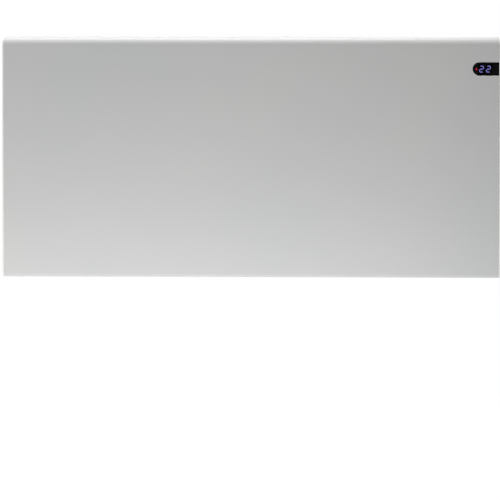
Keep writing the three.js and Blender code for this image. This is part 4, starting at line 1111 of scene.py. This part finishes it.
SOFTENED = {
    "bracket": {"rail_upper": 0.3, "rail_lower": 0.3, "upright_left": 0.25, "upright_right": 0.25,
                "catch_rivet_left": 0.2, "catch_rivet_right": 0.2},
    "catch_left": {"catch_left": 0.4},
    "catch_right": {"catch_right": 0.4},
    "panel": {"hanger_left": 0.25, "hanger_right": 0.25, "gland_nut": 0.4, "relay": 0.4, "capacitor": 0.6,
              "transformer": 0.4, "terminal_block": 0.4, "board_tray": 0.3, "room_sensor": 0.3,
              "control_housing": 0.3, "insulator_left": 0.4, "insulator_right": 0.4,
              "overheat_cutout": 0.3, "tact_switch_ok": 0.2, "tact_switch_plus": 0.2,
              "tact_switch_minus": 0.2},
}


def slot_of(node):
    """The record's slot that a node takes its finish from."""
    return frame["nodes"][node].data.materials[0].name.split(".")[0]


def dress_the_rest():
    """Softened copies of the solids that show, and finishes for those that stay."""
    slots = {node: slot_of(node) for node in frame["nodes"]}
    for body, nodes in SOFTENED.items():
        for node, width in nodes.items():
            soften(node, body, slots[node], width)
    for node, solid in frame["nodes"].items():
        solid.data.materials.clear()
        solid.data.materials.append(FINISHES[slots[node]])


# ---- stage ---------------------------------------------------------------------------------------

def floor():
    """A plain pale floor that reads as white to the camera and in reflections."""
    bm = bmesh.new()
    bmesh.ops.create_grid(bm, x_segments=1, y_segments=1, size=FLOOR_HALF)
    bmesh.ops.translate(bm, vec=(0, 0, FLOOR_Z), verts=bm.verts)
    r = Recipe("floor_pale")
    shade = r.noise(2, 2)
    path = r.tree.nodes.new("ShaderNodeLightPath")
    seen = Wire(r, path.outputs["Is Camera Ray"]) + Wire(r, path.outputs["Is Glossy Ray"])
    r.set(Base_Color=r.blend(shade, tone(180), tone(184)), Roughness=0.9, Emission_Color=tone(255),
          Emission_Strength=FLOOR_GLOW * seen)
    FINISHES["floor_pale"] = r.material
    made = mesh_object("floor", bm, "floor_pale")


def world():
    """Soft even light, with white behind the object and in its reflections."""
    made = bpy.data.worlds.new("studio")
    bpy.context.scene.world = made
    made.use_nodes = True
    tree = made.node_tree
    tree.nodes.clear()
    path = tree.nodes.new("ShaderNodeLightPath")
    seen = None
    for name in ("Is Camera Ray", "Is Glossy Ray", "Is Transmission Ray"):
        if seen is None:
            seen = path.outputs[name]
            continue
        both = tree.nodes.new("ShaderNodeMath")
        both.operation = "MAXIMUM"
        tree.links.new(seen, both.inputs[0])
        tree.links.new(path.outputs[name], both.inputs[1])
        seen = both.outputs[0]
    level = tree.nodes.new("ShaderNodeMapRange")
    level.inputs["To Min"].default_value = WORLD_LEVEL
    level.inputs["To Max"].default_value = 1.0
    tree.links.new(seen, level.inputs["Value"])
    light = tree.nodes.new("ShaderNodeBackground")
    light.inputs["Color"].default_value = (1, 1, 1, 1)
    tree.links.new(level.outputs[0], light.inputs["Strength"])
    tree.links.new(light.outputs[0], tree.nodes.new("ShaderNodeOutputWorld").inputs["Surface"])


def area_light(name, place, aim, size, power):
    """A rectangular lamp in metres and watts, turned towards a point."""
    data = bpy.data.lights.new(name, "AREA")
    data.shape, data.size, data.size_y, data.energy = "RECTANGLE", *size, power
    made = bpy.data.objects.new(name, data)
    made.location = place
    made.rotation_euler = (Vector(place) - Vector(aim)).to_track_quat("Z", "Y").to_euler()
    made.visible_camera = False
    bpy.context.scene.collection.objects.link(made)


def camera():
    """The front view, from a little to the right and above, with a slight roll."""
    azimuth, elevation, roll = (math.radians(v) for v in (VIEW_AZIMUTH, VIEW_ELEVATION, VIEW_ROLL))
    back = Vector((math.sin(azimuth) * math.cos(elevation), -math.cos(azimuth) * math.cos(elevation),
                   math.sin(elevation)))
    data = bpy.data.cameras.new("camera")
    data.lens, data.sensor_width = VIEW_LENS, 36
    data.shift_x, data.shift_y = VIEW_SHIFT
    made = bpy.data.objects.new("camera", data)
    target = Vector((0, FRONT, (PANEL_LOW + PANEL_TOP) / 2)) * MM
    made.location = target + back * VIEW_DISTANCE
    made.rotation_mode = "QUATERNION"
    made.rotation_quaternion = back.to_track_quat("Z", "Y") @ Quaternion((0, 0, 1), roll)
    bpy.context.scene.collection.objects.link(made)
    bpy.context.scene.camera = made


camera()
front_cover()
end_cap("left", -1)
end_cap("right", 1)
rear_pan()
slot_rims()
screws()
display_window()
display_module()
display_digits()
indicator_lamps()
for word, height in BUTTON_ZS.items():
    button(word, height)
for word, x in SPACERS.items():
    wall_spacer(word, x)
cable_gland()
dress_the_rest()

floor()
world()
for name, lamp in STUDIO_LAMPS.items():
    area_light(name, *lamp)

bpy.context.scene.view_settings.view_transform = "Standard"
